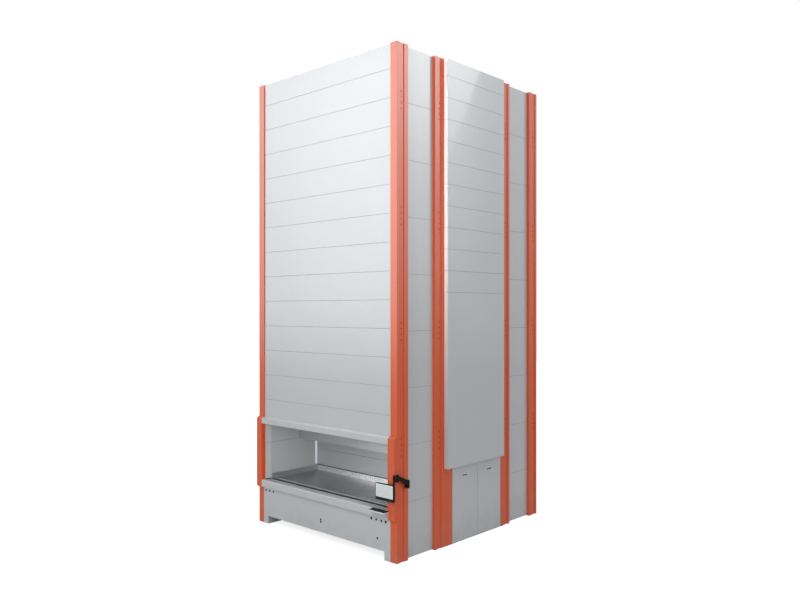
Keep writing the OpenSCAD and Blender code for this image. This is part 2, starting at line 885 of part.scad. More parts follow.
// Fixed shoe round which an extractor belt returns, on the front cross beam
module return_shoe() {
    x = [extractor_x - extractor_belt_w / 2, extractor_x + extractor_belt_w / 2];
    cheek_y = [extractor_y[0] - extractor_r, extractor_y[0] + extractor_r];
    cheek_z = [cross_top + butt, extractor_z + cheek_t + pin_r];
    translate([0, extractor_y[0], extractor_z]) {
        rod_x(x, extractor_r);
        rod_x([x[0] - cheek_t, x[1] + cheek_t], pin_r);
    }
    block([x[0] - cheek_t, x[0] - 1], cheek_y, cheek_z);
    block([x[1] + 1, x[1] + cheek_t], cheek_y, cheek_z);
}

// Shoes that grip the tee rails' webs, above and below on each corner
module guide_shoes() {
    color(black) both_sides() both_ends() for (z = [cross_bottom + 20, tray_z + side_up - 20 - shoe_h]) {
        difference() {
            block(
                [belt_x - shoe_half, belt_x + shoe_half],
                [shoe_y - shoe_grip, shoe_y + shoe_back], [z, z + shoe_h]
            );
            block(
                [belt_x - guide_half - slip, belt_x + guide_half + slip],
                [shoe_y - shoe_grip - eps, shoe_y + slip], [z - eps, z + shoe_h + eps]
            );
        }
    }
}

// Clamps that join the carriage to the front strands of the lift belts
module belt_clamps() {
    strand = [shaft_mid - strand_out - slip, shaft_mid - strand_in + slip];
    grip = 14;
    color(steel) both_sides() difference() {
        block(
            [side_out, belt_x + belt_w / 2], [strand[0] - grip, strand[1] + grip],
            [tray_z, tray_z + clamp_h]
        );
        block([belt_x - belt_w / 2 - slip, side_x], strand, [tray_z - eps, tray_z + clamp_h + eps]);
    }
}

module extractor_bar() {
    bar = [shaft_mid - 35, shaft_mid + 35];
    low = rail_top + slip;
    color(steel) {
        block([-extractor_x - 60, extractor_x + 60], bar, [low, low + extractor_bar_t]);
        both_sides() block([rail_x[1] + slip, rail_x[1] + 20], bar, [rail_top - 14, low + eps]);
    }
}

module extractor_shaft() {
    half = extractor_belt_w / 2;
    color(steel) translate([0, extractor_y[1], extractor_z]) {
        rod_x([-extractor_x - half, extractor_x + half], extractor_shaft_r);
        for (x = [-extractor_x, extractor_x]) {
            rod_x([x - half, x + half], extractor_r);
        }
    }
}

module extractor_loop(r) {
    for (y = extractor_y) {
        translate([y, extractor_z]) circle(r);
    }
    rect(extractor_y, [extractor_z - r, extractor_z + r]);
}

module extractor_belts() {
    half = extractor_belt_w / 2;
    inner = extractor_r + slip;
    color(black) for (x = [-extractor_x, extractor_x]) {
        run_x([x - half, x + half]) difference() {
            extractor_loop(inner + extractor_belt_t);
            extractor_loop(inner);
        }
    }
}

module extractor_motor() {
    gear = [extractor_y[1] - 40, extractor_y[1] + 40];
    half = 60;
    body_r = 26;
    color(black) difference() {
        union() {
            block([-half, half], gear, [cross_top, rail_top]);
            translate([0, 0, cross_top + rail_h / 2]) rod_y([gear[0] - 190, gear[0] + eps], body_r);
        }
        translate([0, extractor_y[1], extractor_z])
            rod_x([-half - eps, half + eps], extractor_shaft_r + run_fit);
    }
}

// Folded tray: high side and rear walls with rims folded in, a low lip under a bead in front
module tray(z) {
    x = [-tray_x, tray_x];
    y = tray_y;
    t = tray_sheet;
    top = z + tray_h;
    wall = y[0] + tray_nose;
    bead_z = [z + tray_lip - tray_bead, z + tray_lip];
    difference() {
        block(x, y, [z, top]);
        block([x[0] + t, x[1] - t], [wall, y[1] - t], [z + t, top - t]);
        block([x[0] + tray_rim, x[1] - tray_rim], [y[0] - eps, y[1] - tray_rim], [z + t, top + eps]);
        block([x[0] - eps, x[1] + eps], [y[0] - eps, wall], [bead_z[1], top + eps]);
        block([x[0] - eps, x[1] + eps], [y[0] - eps, wall], [z - eps, bead_z[0]]);
    }
    block(x, [wall, wall + t], [z, bead_z[1]]);
    block(x, [y[0], wall + t], bead_z);
}

function ledge_at(z0, n) = ledge_levels(z0)[n];

module stored_tray(z) {
    color(steel) tray(z);
}

module access_tray() {
    stored_tray(tray_z);
}

module front_tray_low() {
    stored_tray(ledge_at(front_rack_z, 2));
}

module front_tray_high() {
    stored_tray(ledge_at(front_rack_z, 12));
}

module rear_tray_low() {
    at_rear() stored_tray(ledge_at(rear_rack_z, 5));
}

module rear_tray_high() {
    at_rear() stored_tray(ledge_at(rear_rack_z, 15));
}

// Header and threshold between the mid posts, bored for the hinge pins
header_z = [cover_bottom, cover_bottom + 40];
threshold_z = [1, floor_gap - 3];
hinge_x = side_x - pivot_in;
hinge_y = [door_y0 + pivot_in, door_y1 - pivot_in];

module door_frame() {
    x = [side_x - frame_in, side_x - sheet];
    end = fy(column_d + shaft_w) - sheet;
    color(steel) difference() {
        union() {
            block(x, [fy(column_d), end], header_z);
            block(x, [strip_end, end], threshold_z);
        }
        for (y = hinge_y) {
            translate([hinge_x, y, -eps]) cylinder(h = header_z[1] + 2 * eps, r = pin_r);
        }
    }
}

// Orange sheet between the front mid post and the doors
module door_strip() {
    back = side_x - door_t;
    y = [fy(column_d) + seam, strip_end];
    color(orange) run_z([0, cover_bottom - seam])
        folded([[back, y[0]], [side_x, y[0]], [side_x, y[1]], [back, y[1]]]);
}

module hinge_pins() {
    color(steel) for (y = hinge_y) {
        top_in = door_top - pin_in + slip;
        low_in = floor_gap + pin_in - slip;
        translate([hinge_x, y, top_in]) cylinder(h = header_z[1] - top_in, r = pin_r);
        translate([hinge_x, y, threshold_z[0]]) cylinder(h = low_in - threshold_z[0], r = pin_r);
    }
}

// Folded door leaf with a recessed pull, bored at its hinge corners
module door_leaf(y, hinge) {
    pull_y = [(y[0] + y[1] - pull_w) / 2, (y[0] + y[1] + pull_w) / 2];
    back = side_x - door_t;
    z = [floor_gap, door_top];
    difference() {
        union() {
            difference() {
                block([back, side_x], y, z);
                block(
                    [back - eps, side_x - sheet], [y[0] + sheet, y[1] - sheet],
                    [z[0] + door_plate, z[1] - door_plate]
                );
            }
            block(
                [side_x - pull_d - sheet, side_x - sheet / 2], [pull_y[0] - sheet, pull_y[1] + sheet],
                [pull_z - pull_h / 2 - sheet, pull_z + pull_h / 2 + sheet]
            );
            for (low = [z[0], z[1] - pin_in - door_plate]) {
                block(
                    [back, side_x], [hinge - pivot_in, hinge + pivot_in],
                    [low, low + pin_in + door_plate]
                );
            }
        }
        block([side_x - pull_d, side_x + eps], pull_y, [pull_z - pull_h / 2, pull_z + pull_h / 2]);
        for (low = [z[0] - eps, z[1] - pin_in]) {
            translate([hinge_x, hinge, low]) cylinder(h = pin_in + eps, r = pin_r + run_fit);
        }
    }
}

module front_door() {
    color(grey) door_leaf([door_y0, door_mid - door_gap / 2], hinge_y[0]);
}

module rear_door() {
    color(grey) door_leaf([door_mid + door_gap / 2, door_y1], hinge_y[1]);
}

// Keypad shelf at the right end of the sill
keypad_x = [side_x - keypad_in - keypad_w, side_x - keypad_in];
shelf_x = [keypad_x[0] - 4, keypad_x[1] + 4];
shelf_edge = 22;
shelf_drop = 34;

module keypad_shelf() {
    front = fy(-shelf_reach);
    back = fy(-front_proud);
    z = [sill_z - sheet - shelf_edge, sill_z - sheet];
    outline = [
        [back, z[1]], [front + 4, z[1]], [front, z[1] - 4], [front, z[0]], [back - sheet, z[0] - shelf_drop]
    ];
    color(grey) {
        run_x(shelf_x) folded(outline);
        for (x = [shelf_x[0], shelf_x[1] - sheet]) {
            run_x([x, x + sheet]) polygon(outline);
        }
    }
}

module keypad() {
    y0 = fy(-shelf_reach) + 4;
    low = sill_z - sheet;
    top = low + keypad_t;
    color(black) difference() {
        block(keypad_x, [y0, fy(-front_proud) - slip], [low, top]);
        run_x([shelf_x[0], shelf_x[1] + eps])
            polygon([[y0 - eps, low + 3], [y0 - eps, top + eps], [fy(-front_proud), top + eps]]);
    }
}

module panel_plugs() {
    color(black) for (p = plug_spots) {
        translate([p[0], 0, p[1]]) rod_y([fy(-4), fy(0)], plug_r);
    }
}

module button(x) {
    color(black) translate([side_x - x, 0, button_z]) {
        rod_y([fy(-button_proud), fy(sheet + 8)], button_r);
    }
}

module right_button() {
    button(button_in[0]);
}

module left_button() {
    button(button_in[1]);
}

// Plate on the post's side with an upright pivot
module arm_bracket() {
    plate_y = [fy(groove_in + groove_w + 2), fy(corner_post_d) - 2];
    low = seat_z - seat_t;
    color(black) {
        block([side_x, side_x + bracket_t], plate_y, [low - 5, seat_z + boss_h]);
        block([side_x + bracket_t - eps, arm_x], [shoulder_y - 14, shoulder_y + 14], [low, seat_z]);
        translate([arm_x, shoulder_y, low]) cylinder(h = seat_t, r = boss_r);
        translate([arm_x, shoulder_y, seat_z - eps]) cylinder(h = boss_h + eps, r = pivot_r);
    }
}

// First link, rising from the bracket to the elbow
module arm_link() {
    shoulder = seat_z + slip;
    color(black) difference() {
        union() {
            translate([arm_x, shoulder_y, shoulder]) cylinder(h = boss_h, r = boss_r);
            translate([arm_x, elbow_y, elbow_low]) cylinder(h = elbow_h, r = boss_r);
            run_x([arm_x - link_half, arm_x + link_half]) polygon([
                [shoulder_y, shoulder + 2], [shoulder_y, shoulder + boss_h - 2],
                [elbow_y, elbow_low + elbow_h - 2], [elbow_y, elbow_low + 16]
            ]);
        }
        translate([arm_x, shoulder_y, shoulder - eps]) cylinder(h = 2 * boss_h, r = pivot_r + run_fit);
        translate([arm_x, elbow_y, elbow_low - eps]) cylinder(h = 2 * elbow_h, r = pivot_r + run_fit);
    }
}

// Second link: a foot under the elbow and a bar beside it that carries the screen's tilting hinge
module screen_support() {
    top = elbow_low - slip;
    color(black) difference() {
        union() {
            translate([arm_x, elbow_y, top - seat_t]) cylinder(h = seat_t, r = boss_r);
            translate([arm_x, elbow_y, top - eps]) cylinder(h = elbow_h + slip + eps, r = pivot_r);
            block([side_x + 3, arm_x], [hang_y[0], elbow_y], [top - seat_t, top]);
            block(hang_x, hang_y, [screen_z + knuckle_r + 4, elbow_low + elbow_h - 4]);
            block(knuckle, [tilt_y, hang_y[1]], [screen_z - knuckle_r, screen_z + knuckle_r + 8]);
            translate([0, tilt_y, screen_z]) rod_x(knuckle, knuckle_r);
        }
        translate([0, tilt_y, screen_z]) rod_x([knuckle[0] - eps, knuckle[1] + eps], tilt_r + run_fit);
    }
}

// Screen housing with its hinge ears and their pin
module screen() {
    x = [screen_x1 - screen_w, screen_x1];
    y = [screen_back - screen_t, screen_back];
    z = [screen_z - screen_h / 2, screen_z + screen_h / 2];
    ear_t = 6;
    ears = [[knuckle[0] - slip - ear_t, knuckle[0] - slip], [knuckle[1] + slip, knuckle[1] + slip + ear_t]];
    color(black) {
        difference() {
            block(x, y, z);
            block(glass_x, [y[0] - eps, y[0] + glass_t], glass_z);
        }
        for (e = ears) {
            block(e, [screen_back - eps, tilt_y], [screen_z - 10, screen_z + 10]);
            translate([0, tilt_y, screen_z]) rod_x(e, 10);
        }
        translate([0, tilt_y, screen_z]) rod_x([ears[0][0], ears[1][1]], tilt_r);
    }
}

module screen_glass() {
    y = screen_back - screen_t;
    color([0.8, 0.82, 0.82]) block(glass_x, [y, y + glass_t], glass_z);
}

base_frame();
front_posts();
rear_posts();
mid_posts();
top_frame();
front_panels();
rear_panels();
front_bay_panels();
rear_bay_panels();
right_cover_panels();
left_cover_panels();
roof_panel();
lintel();
sill();
base_panel();
left_guard();
right_guard();
light_curtains();
opening_linings();
hood();
light_strips();
hatch_guides();
hatch();
front_racks();
rear_racks();
guide_rails();
lift_belts();
lift_gear_motor();
shaft_bearings();
idler_brackets();
drive_shaft();
drive_pulleys();
top_idlers();
carriage_frame();
guide_shoes();
belt_clamps();
extractor_bar();
extractor_shaft();
extractor_belts();
extractor_motor();
access_tray();
front_tray_low();
front_tray_high();
rear_tray_low();
rear_tray_high();
door_frame();
door_strip();
hinge_pins();
front_door();
rear_door();
keypad_shelf();
keypad();
panel_plugs();
right_button();
left_button();
arm_bracket();
arm_link();
screen_support();
screen();
screen_glass();
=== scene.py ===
# %% [markdown]
# A vertical lift module is a tall steel cabinet that stores trays on ledges and brings one of them at
# a time to an opening at working height. Its solids, joints and sizes come from the CAD model, which
# is loaded here as a fixed frame. Every piece in this lesson is made where one of those solids already
# is, so nothing has to be fitted by eye, and each piece moves with the body that it belongs to.

import json
import math

import bmesh
import bpy
from mathutils import Matrix, Vector


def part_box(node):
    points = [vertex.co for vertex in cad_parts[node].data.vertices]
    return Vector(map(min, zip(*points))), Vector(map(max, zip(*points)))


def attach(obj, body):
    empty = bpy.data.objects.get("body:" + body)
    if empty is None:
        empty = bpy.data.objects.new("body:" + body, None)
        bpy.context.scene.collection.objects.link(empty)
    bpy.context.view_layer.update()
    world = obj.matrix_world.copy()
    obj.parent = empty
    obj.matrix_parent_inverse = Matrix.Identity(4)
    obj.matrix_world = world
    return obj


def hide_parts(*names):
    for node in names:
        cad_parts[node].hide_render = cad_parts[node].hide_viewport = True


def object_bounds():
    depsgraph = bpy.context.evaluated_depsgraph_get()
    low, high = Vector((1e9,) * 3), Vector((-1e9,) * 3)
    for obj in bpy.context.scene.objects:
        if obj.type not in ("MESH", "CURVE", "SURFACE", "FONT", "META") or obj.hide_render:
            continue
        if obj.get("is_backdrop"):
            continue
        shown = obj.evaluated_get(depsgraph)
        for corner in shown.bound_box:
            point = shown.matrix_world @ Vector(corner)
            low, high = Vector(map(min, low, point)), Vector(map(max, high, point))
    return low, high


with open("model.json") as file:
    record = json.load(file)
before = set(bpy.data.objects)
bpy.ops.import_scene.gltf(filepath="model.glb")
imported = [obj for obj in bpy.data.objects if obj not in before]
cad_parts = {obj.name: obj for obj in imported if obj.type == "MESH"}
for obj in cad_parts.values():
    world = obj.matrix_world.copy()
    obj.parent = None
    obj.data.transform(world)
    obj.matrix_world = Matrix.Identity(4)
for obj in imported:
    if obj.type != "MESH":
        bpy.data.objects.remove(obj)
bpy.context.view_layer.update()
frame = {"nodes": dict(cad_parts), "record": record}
bodies = frame["record"]["behaviour"]["bodies"]
body_of = {node: body for body, nodes in bodies.items() for node in nodes}
slot_of = {part["node"]: part["material_slot"] for part in frame["record"]["subparts"]}

# %% [markdown]
# The photograph was taken with a level camera, about three metres up, to the right of the machine's
# front corner: all the upright edges are parallel. A level camera with a small vertical shift keeps
# them parallel here too, which tilting the camera would not.

# %% Camera
CAMERA_PLACE = (7.4767, -8.0262, 3.0612)
CAMERA_TURN = math.radians(42.775)
LENS = 33.54
RISE = 0.0123

camera_data = bpy.data.cameras.new("level_camera")
camera_data.lens = LENS
camera_data.sensor_width = 36
camera_data.shift_y = RISE
camera = bpy.data.objects.new("level_camera", camera_data)
camera.location = CAMERA_PLACE
camera.rotation_euler = (math.pi / 2, 0, CAMERA_TURN)
bpy.context.scene.collection.objects.link(camera)
bpy.context.scene.camera = camera
print("camera", [round(value, 2) for value in camera.location])

# %% [markdown]
# Most materials here share a few effects: the fine grain of a sprayed coat, the rub marks and dust of
# a machine in use, and the streaks of rolled steel. Each effect is a node group with named sockets, so
# it is built once and every material gives it its own values. Small helpers keep the node code short:
# one places a node and links whatever sockets it is given, one starts a group, and the rest are the few
# sums that come up again and again.

# %% Node helpers
COLOUR = "NodeSocketColor"
NUMBER = "NodeSocketFloat"


def place(tree, kind, inputs=None, **settings):
    """Adds a node; an input that is given a socket is linked, any other value is set."""
    node = tree.nodes.new(kind)
    for setting, value in settings.items():
        setattr(node, setting, value)
    for key, value in (inputs or {}).items():
        if isinstance(value, bpy.types.NodeSocket):
            tree.links.new(value, node.inputs[key])
        else:
            node.inputs[key].default_value = value
    return node


def blend(tree, factor, first, second):
    """Mixes two colours."""
    mixed = place(tree, "ShaderNodeMix", {0: factor, 6: first, 7: second}, data_type="RGBA")
    return mixed.outputs[2]


def spread(tree, value, low, high, to_low=0.0, to_high=1.0):
    """Stretches a value from one range to another, and clamps it there."""
    stretched = place(tree, "ShaderNodeMapRange", {
        "Value": value, "From Min": low, "From Max": high, "To Min": to_low, "To Max": to_high,
    })
    return stretched.outputs["Result"]


def times(tree, first, second):
    """Multiplies two values."""
    return place(tree, "ShaderNodeMath", {0: first, 1: second}, operation="MULTIPLY").outputs[0]


def plus(tree, first, second):
    """Adds two values."""
    return place(tree, "ShaderNodeMath", {0: first, 1: second}, operation="ADD").outputs[0]


def noise(tree, vector, scale, detail=2.0):
    """A cloudy value between 0 and 1."""
    return place(tree, "ShaderNodeTexNoise", {
        "Vector": vector, "Scale": scale, "Detail": detail,
    }).outputs["Fac"]


def start_group(name, inputs, outputs):
    """A new shader group with its named sockets, its input node and its output node."""
    tree = bpy.data.node_groups.new(name, "ShaderNodeTree")
    for label, kind, value in inputs:
        tree.interface.new_socket(label, in_out="INPUT", socket_type=kind).default_value = value
    for label, kind in outputs:
        tree.interface.new_socket(label, in_out="OUTPUT", socket_type=kind)
    return tree, tree.nodes.new("NodeGroupInput").outputs, tree.nodes.new("NodeGroupOutput").inputs


print("node helpers ready")

# %% [markdown]
# Powder coat is sprayed on dry and melts into a skin that is never quite smooth: close up it has the
# grain of an orange peel, and over a whole panel its tone drifts a little. A fine noise gives the
# height of the grain, a broad one the drift, and a middle one lets the gloss vary between them.

# %% Grain of a sprayed coat
def build_coat_grain():
    tree, given, result = start_group(
        "coat_grain",
        [("Paint", COLOUR, (0.8, 0.8, 0.8, 1)), ("Drift", NUMBER, 0.04), ("Gloss", NUMBER, 0.4)],
        [("Color", COLOUR), ("Roughness", NUMBER), ("Height", NUMBER)],
    )
    spot = place(tree, "ShaderNodeTexCoord").outputs["Object"]
    drift = times(tree, spread(tree, noise(tree, spot, 0.9, 4.0), 0.3, 0.7, -1.0, 1.0), given["Drift"])
    tone = plus(tree, drift, 1.0)
    tinted = place(tree, "ShaderNodeHueSaturation", {"Color": given["Paint"], "Value": tone})
    patch = spread(tree, noise(tree, spot, 14.0, 3.0), 0.3, 0.7, 0.95, 1.05)
    tree.links.new(tinted.outputs["Color"], result["Color"])
    tree.links.new(times(tree, given["Gloss"], patch), result["Roughness"])
    tree.links.new(noise(tree, spot, 620.0), result["Height"])
    return tree


coat_grain = build_coat_grain()
print("group", coat_grain.name)

# %% [markdown]
# A machine that people load all day is rubbed along its folds and collects dust near the floor. The
# pieces carry an attribute named fold, which is one on the rounded strip of each folded edge. Where it
# meets a patchy noise the coat is rubbed paler. The height above the floor sets the dust.

# %% Rubbed folds and floor dust
DUST = (0.33, 0.31, 0.28, 1)
DUST_TOP = 0.45
DUST_DULLS = 0.35


def build_handling_marks():
    tree, given, result = start_group(
        "handling_marks",
        [
            ("Color", COLOUR, (0.8, 0.8, 0.8, 1)), ("Roughness", NUMBER, 0.4),
            ("Bare", COLOUR, (0.7, 0.7, 0.7, 1)), ("Rub", NUMBER, 0.4), ("Dust", NUMBER, 0.3),
        ],
        [("Color", COLOUR), ("Roughness", NUMBER)],
    )
    spot = place(tree, "ShaderNodeTexCoord").outputs["Object"]
    fold = place(tree, "ShaderNodeAttribute", attribute_name="fold").outputs["Fac"]
    patch = spread(tree, noise(tree, spot, 22.0, 5.0), 0.42, 0.68)
    rubbed = times(tree, times(tree, fold, patch), given["Rub"])
    height = place(tree, "ShaderNodeSeparateXYZ", {"Vector": spot}).outputs["Z"]
    low = spread(tree, height, 0.0, DUST_TOP, 1.0, 0.0)
    cloud = spread(tree, noise(tree, spot, 6.0, 6.0), 0.3, 0.75)
    dust = times(tree, times(tree, low, cloud), given["Dust"])
    worn = blend(tree, rubbed, given["Color"], given["Bare"])
    tree.links.new(blend(tree, dust, worn, DUST), result["Color"])
    tree.links.new(plus(tree, given["Roughness"], times(tree, dust, DUST_DULLS)), result["Roughness"])
    return tree


handling_marks = build_handling_marks()
print("group", handling_marks.name)

# %% [markdown]
# Rolled sheet shows fine streaks along the way it was rolled, and a zinc coat adds the faint flakes of
# its crystals. The streaks are a noise that is squeezed across the rolling direction, and the flakes
# are the cells of a Voronoi texture, each with its own brightness.

# %% Streaks and flakes of rolled sheet
def build_rolled_sheet():
    tree, given, result = start_group(
        "rolled_sheet",
        [
            ("Metal", COLOUR, (0.6, 0.6, 0.62, 1)), ("Streak", NUMBER, 0.1), ("Flake", NUMBER, 0.1),
            ("Gloss", NUMBER, 0.35), ("Across", "NodeSocketVector", (1.5, 60.0, 60.0)),
        ],
        [("Color", COLOUR), ("Roughness", NUMBER), ("Height", NUMBER)],
    )
    spot = place(tree, "ShaderNodeTexCoord").outputs["Object"]
    squeezed = place(tree, "ShaderNodeVectorMath", {0: spot, 1: given["Across"]}, operation="MULTIPLY")
    streak = noise(tree, squeezed.outputs[0], 6.0, 6.0)
    cells = place(tree, "ShaderNodeTexVoronoi", {"Vector": spot, "Scale": 70.0})
    flake = place(tree, "ShaderNodeSeparateColor", {"Color": cells.outputs["Color"]}).outputs["Red"]
    light = times(tree, spread(tree, streak, 0.3, 0.7, -1.0, 1.0), given["Streak"])
    glint = times(tree, spread(tree, flake, 0.0, 1.0, -1.0, 1.0), given["Flake"])
    tone = plus(tree, plus(tree, light, glint), 1.0)
    tinted = place(tree, "ShaderNodeHueSaturation", {"Color": given["Metal"], "Value": tone})
    tree.links.new(tinted.outputs["Color"], result["Color"])
    dull = spread(tree, streak, 0.3, 0.7, 0.8, 1.2)
    tree.links.new(times(tree, given["Gloss"], dull), result["Roughness"])
    tree.links.new(streak, result["Height"])
    return tree


rolled_sheet = build_rolled_sheet()
print("group", rolled_sheet.name)

# %% [markdown]
# Every material starts as a Principled shader. Paint and metal have these groups in front of it. The grain
# is too fine to be modelled, so a bump node turns its height into a small change of the surface's
# direction.

# %% Material helpers
def start_material(name):
    """A new material with its tree and its Principled shader."""
    material = bpy.data.materials.new(name)
    material.use_nodes = True
    tree = material.node_tree
    return material, tree, tree.nodes["Principled BSDF"]


def use_group(tree, group, inputs):
    """Places a shared group in a material."""
    return place(tree, "ShaderNodeGroup", inputs, node_tree=group).outputs


def rough_surface(tree, shader, height, strength, depth):
    """Feeds a height into the shader's normal."""
    bump = place(tree, "ShaderNodeBump", {"Height": height, "Strength": strength, "Distance": depth})
    tree.links.new(bump.outputs["Normal"], shader.inputs["Normal"])


print("material helpers ready")

# %% [markdown]
# The painted finishes differ only in their values: the orange of the posts and guards, the light grey of
# the panels, the dark grey of the motors and the satin black of the arm. A clear coat gives them their
# gloss. Where an edge is marked, the light grey is painted white without its coat: a painted highlight
# that fades towards the floor.

# %% Painted finishes
COAT_GLOSS = 0.05
GRAIN_DEPTH = 0.0002
HIGHLIGHT_RISE = (1.4, 4.0)


def sprayed_coat(
    name, paint, gloss, coat=0.0, shine=0.5, drift=0.02, grain=0.06, rub=0.35, dust=0.3,
    bare=(0.7, 0.7, 0.7, 1), edge=None,
):
    material, tree, shader = start_material(name)
    shader.inputs["Coat Weight"].default_value = coat
    shader.inputs["Specular IOR Level"].default_value = shine
    shader.inputs["Coat Roughness"].default_value = COAT_GLOSS
    # A marked edge gets a painted highlight: white paint without coat, strongest high up.
    if edge:
        painted_highlight_mask = place(tree, "ShaderNodeAttribute", attribute_name="edge").outputs["Fac"]
        spot = place(tree, "ShaderNodeTexCoord").outputs["Object"]
        height = place(tree, "ShaderNodeSeparateXYZ", {"Vector": spot}).outputs["Z"]
        bright = times(tree, painted_highlight_mask, spread(tree, height, *HIGHLIGHT_RISE))
        paint = blend(tree, bright, paint, edge)
        tree.links.new(spread(tree, bright, 0.0, 1.0, coat, 0.0), shader.inputs["Coat Weight"])
    grained = use_group(tree, coat_grain, {"Paint": paint, "Drift": drift, "Gloss": gloss})
    marked = use_group(tree, handling_marks, {
        "Color": grained["Color"], "Roughness": grained["Roughness"],
        "Bare": bare, "Rub": rub, "Dust": dust,
    })
    tree.links.new(marked["Color"], shader.inputs["Base Color"])
    tree.links.new(marked["Roughness"], shader.inputs["Roughness"])
    rough_surface(tree, shader, grained["Height"], grain, GRAIN_DEPTH)
    return material


ORANGE = (0.8, 0.11, 0.022, 1)
GREY = (0.62, 0.635, 0.65, 1)
EDGE_HIGHLIGHT_WHITE = (0.95, 0.95, 0.95, 1)
BLACK = (0.006, 0.006, 0.007, 1)
finishes = {
    "orange_paint": sprayed_coat(
        "orange_powder_coat", ORANGE, 0.36, coat=0.48, bare=(0.75, 0.34, 0.24, 1),
    ),
    # The light grey carries the painted white highlight on marked edges.
    "grey_paint": sprayed_coat(
        "light_grey_coat", GREY, 0.32, coat=0.7, bare=(0.78, 0.78, 0.78, 1), edge=EDGE_HIGHLIGHT_WHITE,
    ),
    "motor_paint": sprayed_coat("dark_grey_motor_coat", (0.05, 0.056, 0.066, 1), 0.45, grain=0.3),
    "black_paint": sprayed_coat(
        "satin_black_coat", BLACK, 0.45, shine=0.2, rub=0.1, bare=(0.1, 0.1, 0.1, 1),
    ),
}
# A darker grey for the sheets in the opening: painted shade.
shaded_inner_grey = sprayed_coat("inner_grey_coat", (0.52, 0.53, 0.54, 1), 0.4, dust=0.0)
# Darker orange for the post caps: painted shade of the holes they close.
cap_shade_orange = sprayed_coat("cap_shade_coat", (0.45, 0.07, 0.02, 1), 0.6, shine=0.15, rub=0.0, dust=0.0)
print("painted finishes", sorted(finishes))

# %% [markdown]
# The sheets inside are galvanised and not painted, the shafts and rollers are turned, and the tray is
# rolled steel with fine streaks along its width. They share one group and differ in how strong the
# streaks and the flakes are, and in which way the streaks run.

# %% Bare metals
ROLL_DEPTH = 0.0003
LIT_WALL_METALLIC = 0.35


def bare_metal(name, metal, gloss, streak, flake, across, bump=0.1, bright=0.9, wall=None):
    material, tree, shader = start_material(name)
    shader.inputs["Metallic"].default_value = bright
    # A marked wall is painted paler and less metallic: painted light.
    if wall:
        lit_wall_mask = place(tree, "ShaderNodeAttribute", attribute_name="wall").outputs["Fac"]
        metal = blend(tree, lit_wall_mask, metal, wall)
        tree.links.new(spread(tree, lit_wall_mask, 0.0, 1.0, bright, LIT_WALL_METALLIC), shader.inputs["Metallic"])
    rolled = use_group(tree, rolled_sheet, {
        "Metal": metal, "Streak": streak, "Flake": flake, "Gloss": gloss, "Across": across,
    })
    tree.links.new(rolled["Color"], shader.inputs["Base Color"])
    tree.links.new(rolled["Roughness"], shader.inputs["Roughness"])
    rough_surface(tree, shader, rolled["Height"], bump, ROLL_DEPTH)
    return material


ALONG_X = (1.5, 60.0, 60.0)
ALONG_Z = (60.0, 60.0, 1.5)
finishes["zinc_sheet"] = bare_metal("galvanised_sheet", (0.56, 0.58, 0.6, 1), 0.42, 0.06, 0.09, ALONG_Z)
finishes["bright_steel"] = bare_metal("turned_steel", (0.6, 0.61, 0.62, 1), 0.28, 0.12, 0.0, ALONG_X)
# The tray's marked walls take a paler colour: painted light.
tray_steel = bare_metal(
    "tray_sheet", (0.4, 0.41, 0.42, 1), 0.3, 0.14, 0.04, ALONG_X, bump=0.2, wall=(0.88, 0.89, 0.9, 1),
)
# The tread's darker grey is partly painted shade on the sill top.
tread_steel = bare_metal("tread_sheet", (0.5, 0.51, 0.52, 1), 0.5, 0.1, 0.03, ALONG_X, bright=0.3)
print("bare metals", finishes["zinc_sheet"].name, finishes["bright_steel"].name, tray_steel.name)

# %% [markdown]
# Moulded plastic has a fine etched grain from its mould, and rubber is duller still. Both are small
# variations of a dark colour with a bump at the scale of the grain.

# %% Plastics and rubber
MOULD_SHINE = 0.2
MOULD_DEPTH = 0.0004


def moulded(name, shade, gloss, scale, bump):
    material, tree, shader = start_material(name)
    shader.inputs["Specular IOR Level"].default_value = MOULD_SHINE
    spot = place(tree, "ShaderNodeTexCoord").outputs["Object"]
    pale = tuple(channel * 1.5 + 0.004 for channel in shade[:3]) + (1,)
    tint = blend(tree, spread(tree, noise(tree, spot, 30.0, 4.0), 0.35, 0.75), shade, pale)
    tree.links.new(tint, shader.inputs["Base Color"])
    patch = spread(tree, noise(tree, spot, 55.0, 3.0), 0.3, 0.7, gloss * 0.88, gloss * 1.12)
    tree.links.new(patch, shader.inputs["Roughness"])
    rough_surface(tree, shader, noise(tree, spot, scale), bump, MOULD_DEPTH)
    return material


finishes["black_plastic"] = moulded("black_moulding", (0.006, 0.006, 0.007, 1), 0.5, 900.0, 0.3)
finishes["belt_rubber"] = moulded("belt_rubber", (0.012, 0.012, 0.012, 1), 0.75, 260.0, 0.5)
key_skin = moulded("key_skin", (0.024, 0.025, 0.027, 1), 0.55, 700.0, 0.2)
seam_rubber = moulded("seam_rubber", (0.2, 0.205, 0.21, 1), 0.7, 400.0, 0.3)
print("moulded", finishes["black_plastic"].name, finishes["belt_rubber"].name)

# %% [markdown]
# The light strip in the opening is an opal cover in front of a row of lamps, so its glow is a little
# uneven along its length. The display is a lit panel behind glass: its light is even, and the glass in
# front of it is glossy.

# %% Lit finishes
def glowing(name, colour, dim, strength, gloss, scale, border=None):
    material, tree, shader = start_material(name)
    spot = place(tree, "ShaderNodeTexCoord").outputs["Object"]
    drift = spread(tree, noise(tree, spot, scale, 2.0), 0.3, 0.7)
    lit = blend(tree, drift, dim, colour)
    if border:
        inside = place(tree, "ShaderNodeAttribute", attribute_name="panel").outputs["Fac"]
        lit = blend(tree, inside, border, lit)
    tree.links.new(lit, shader.inputs["Base Color"])
    tree.links.new(lit, shader.inputs["Emission Color"])
    shader.inputs["Emission Strength"].default_value = strength
    patch = spread(tree, noise(tree, spot, 40.0), 0.3, 0.7, gloss * 0.9, gloss * 1.1)
    tree.links.new(patch, shader.inputs["Roughness"])
    return material


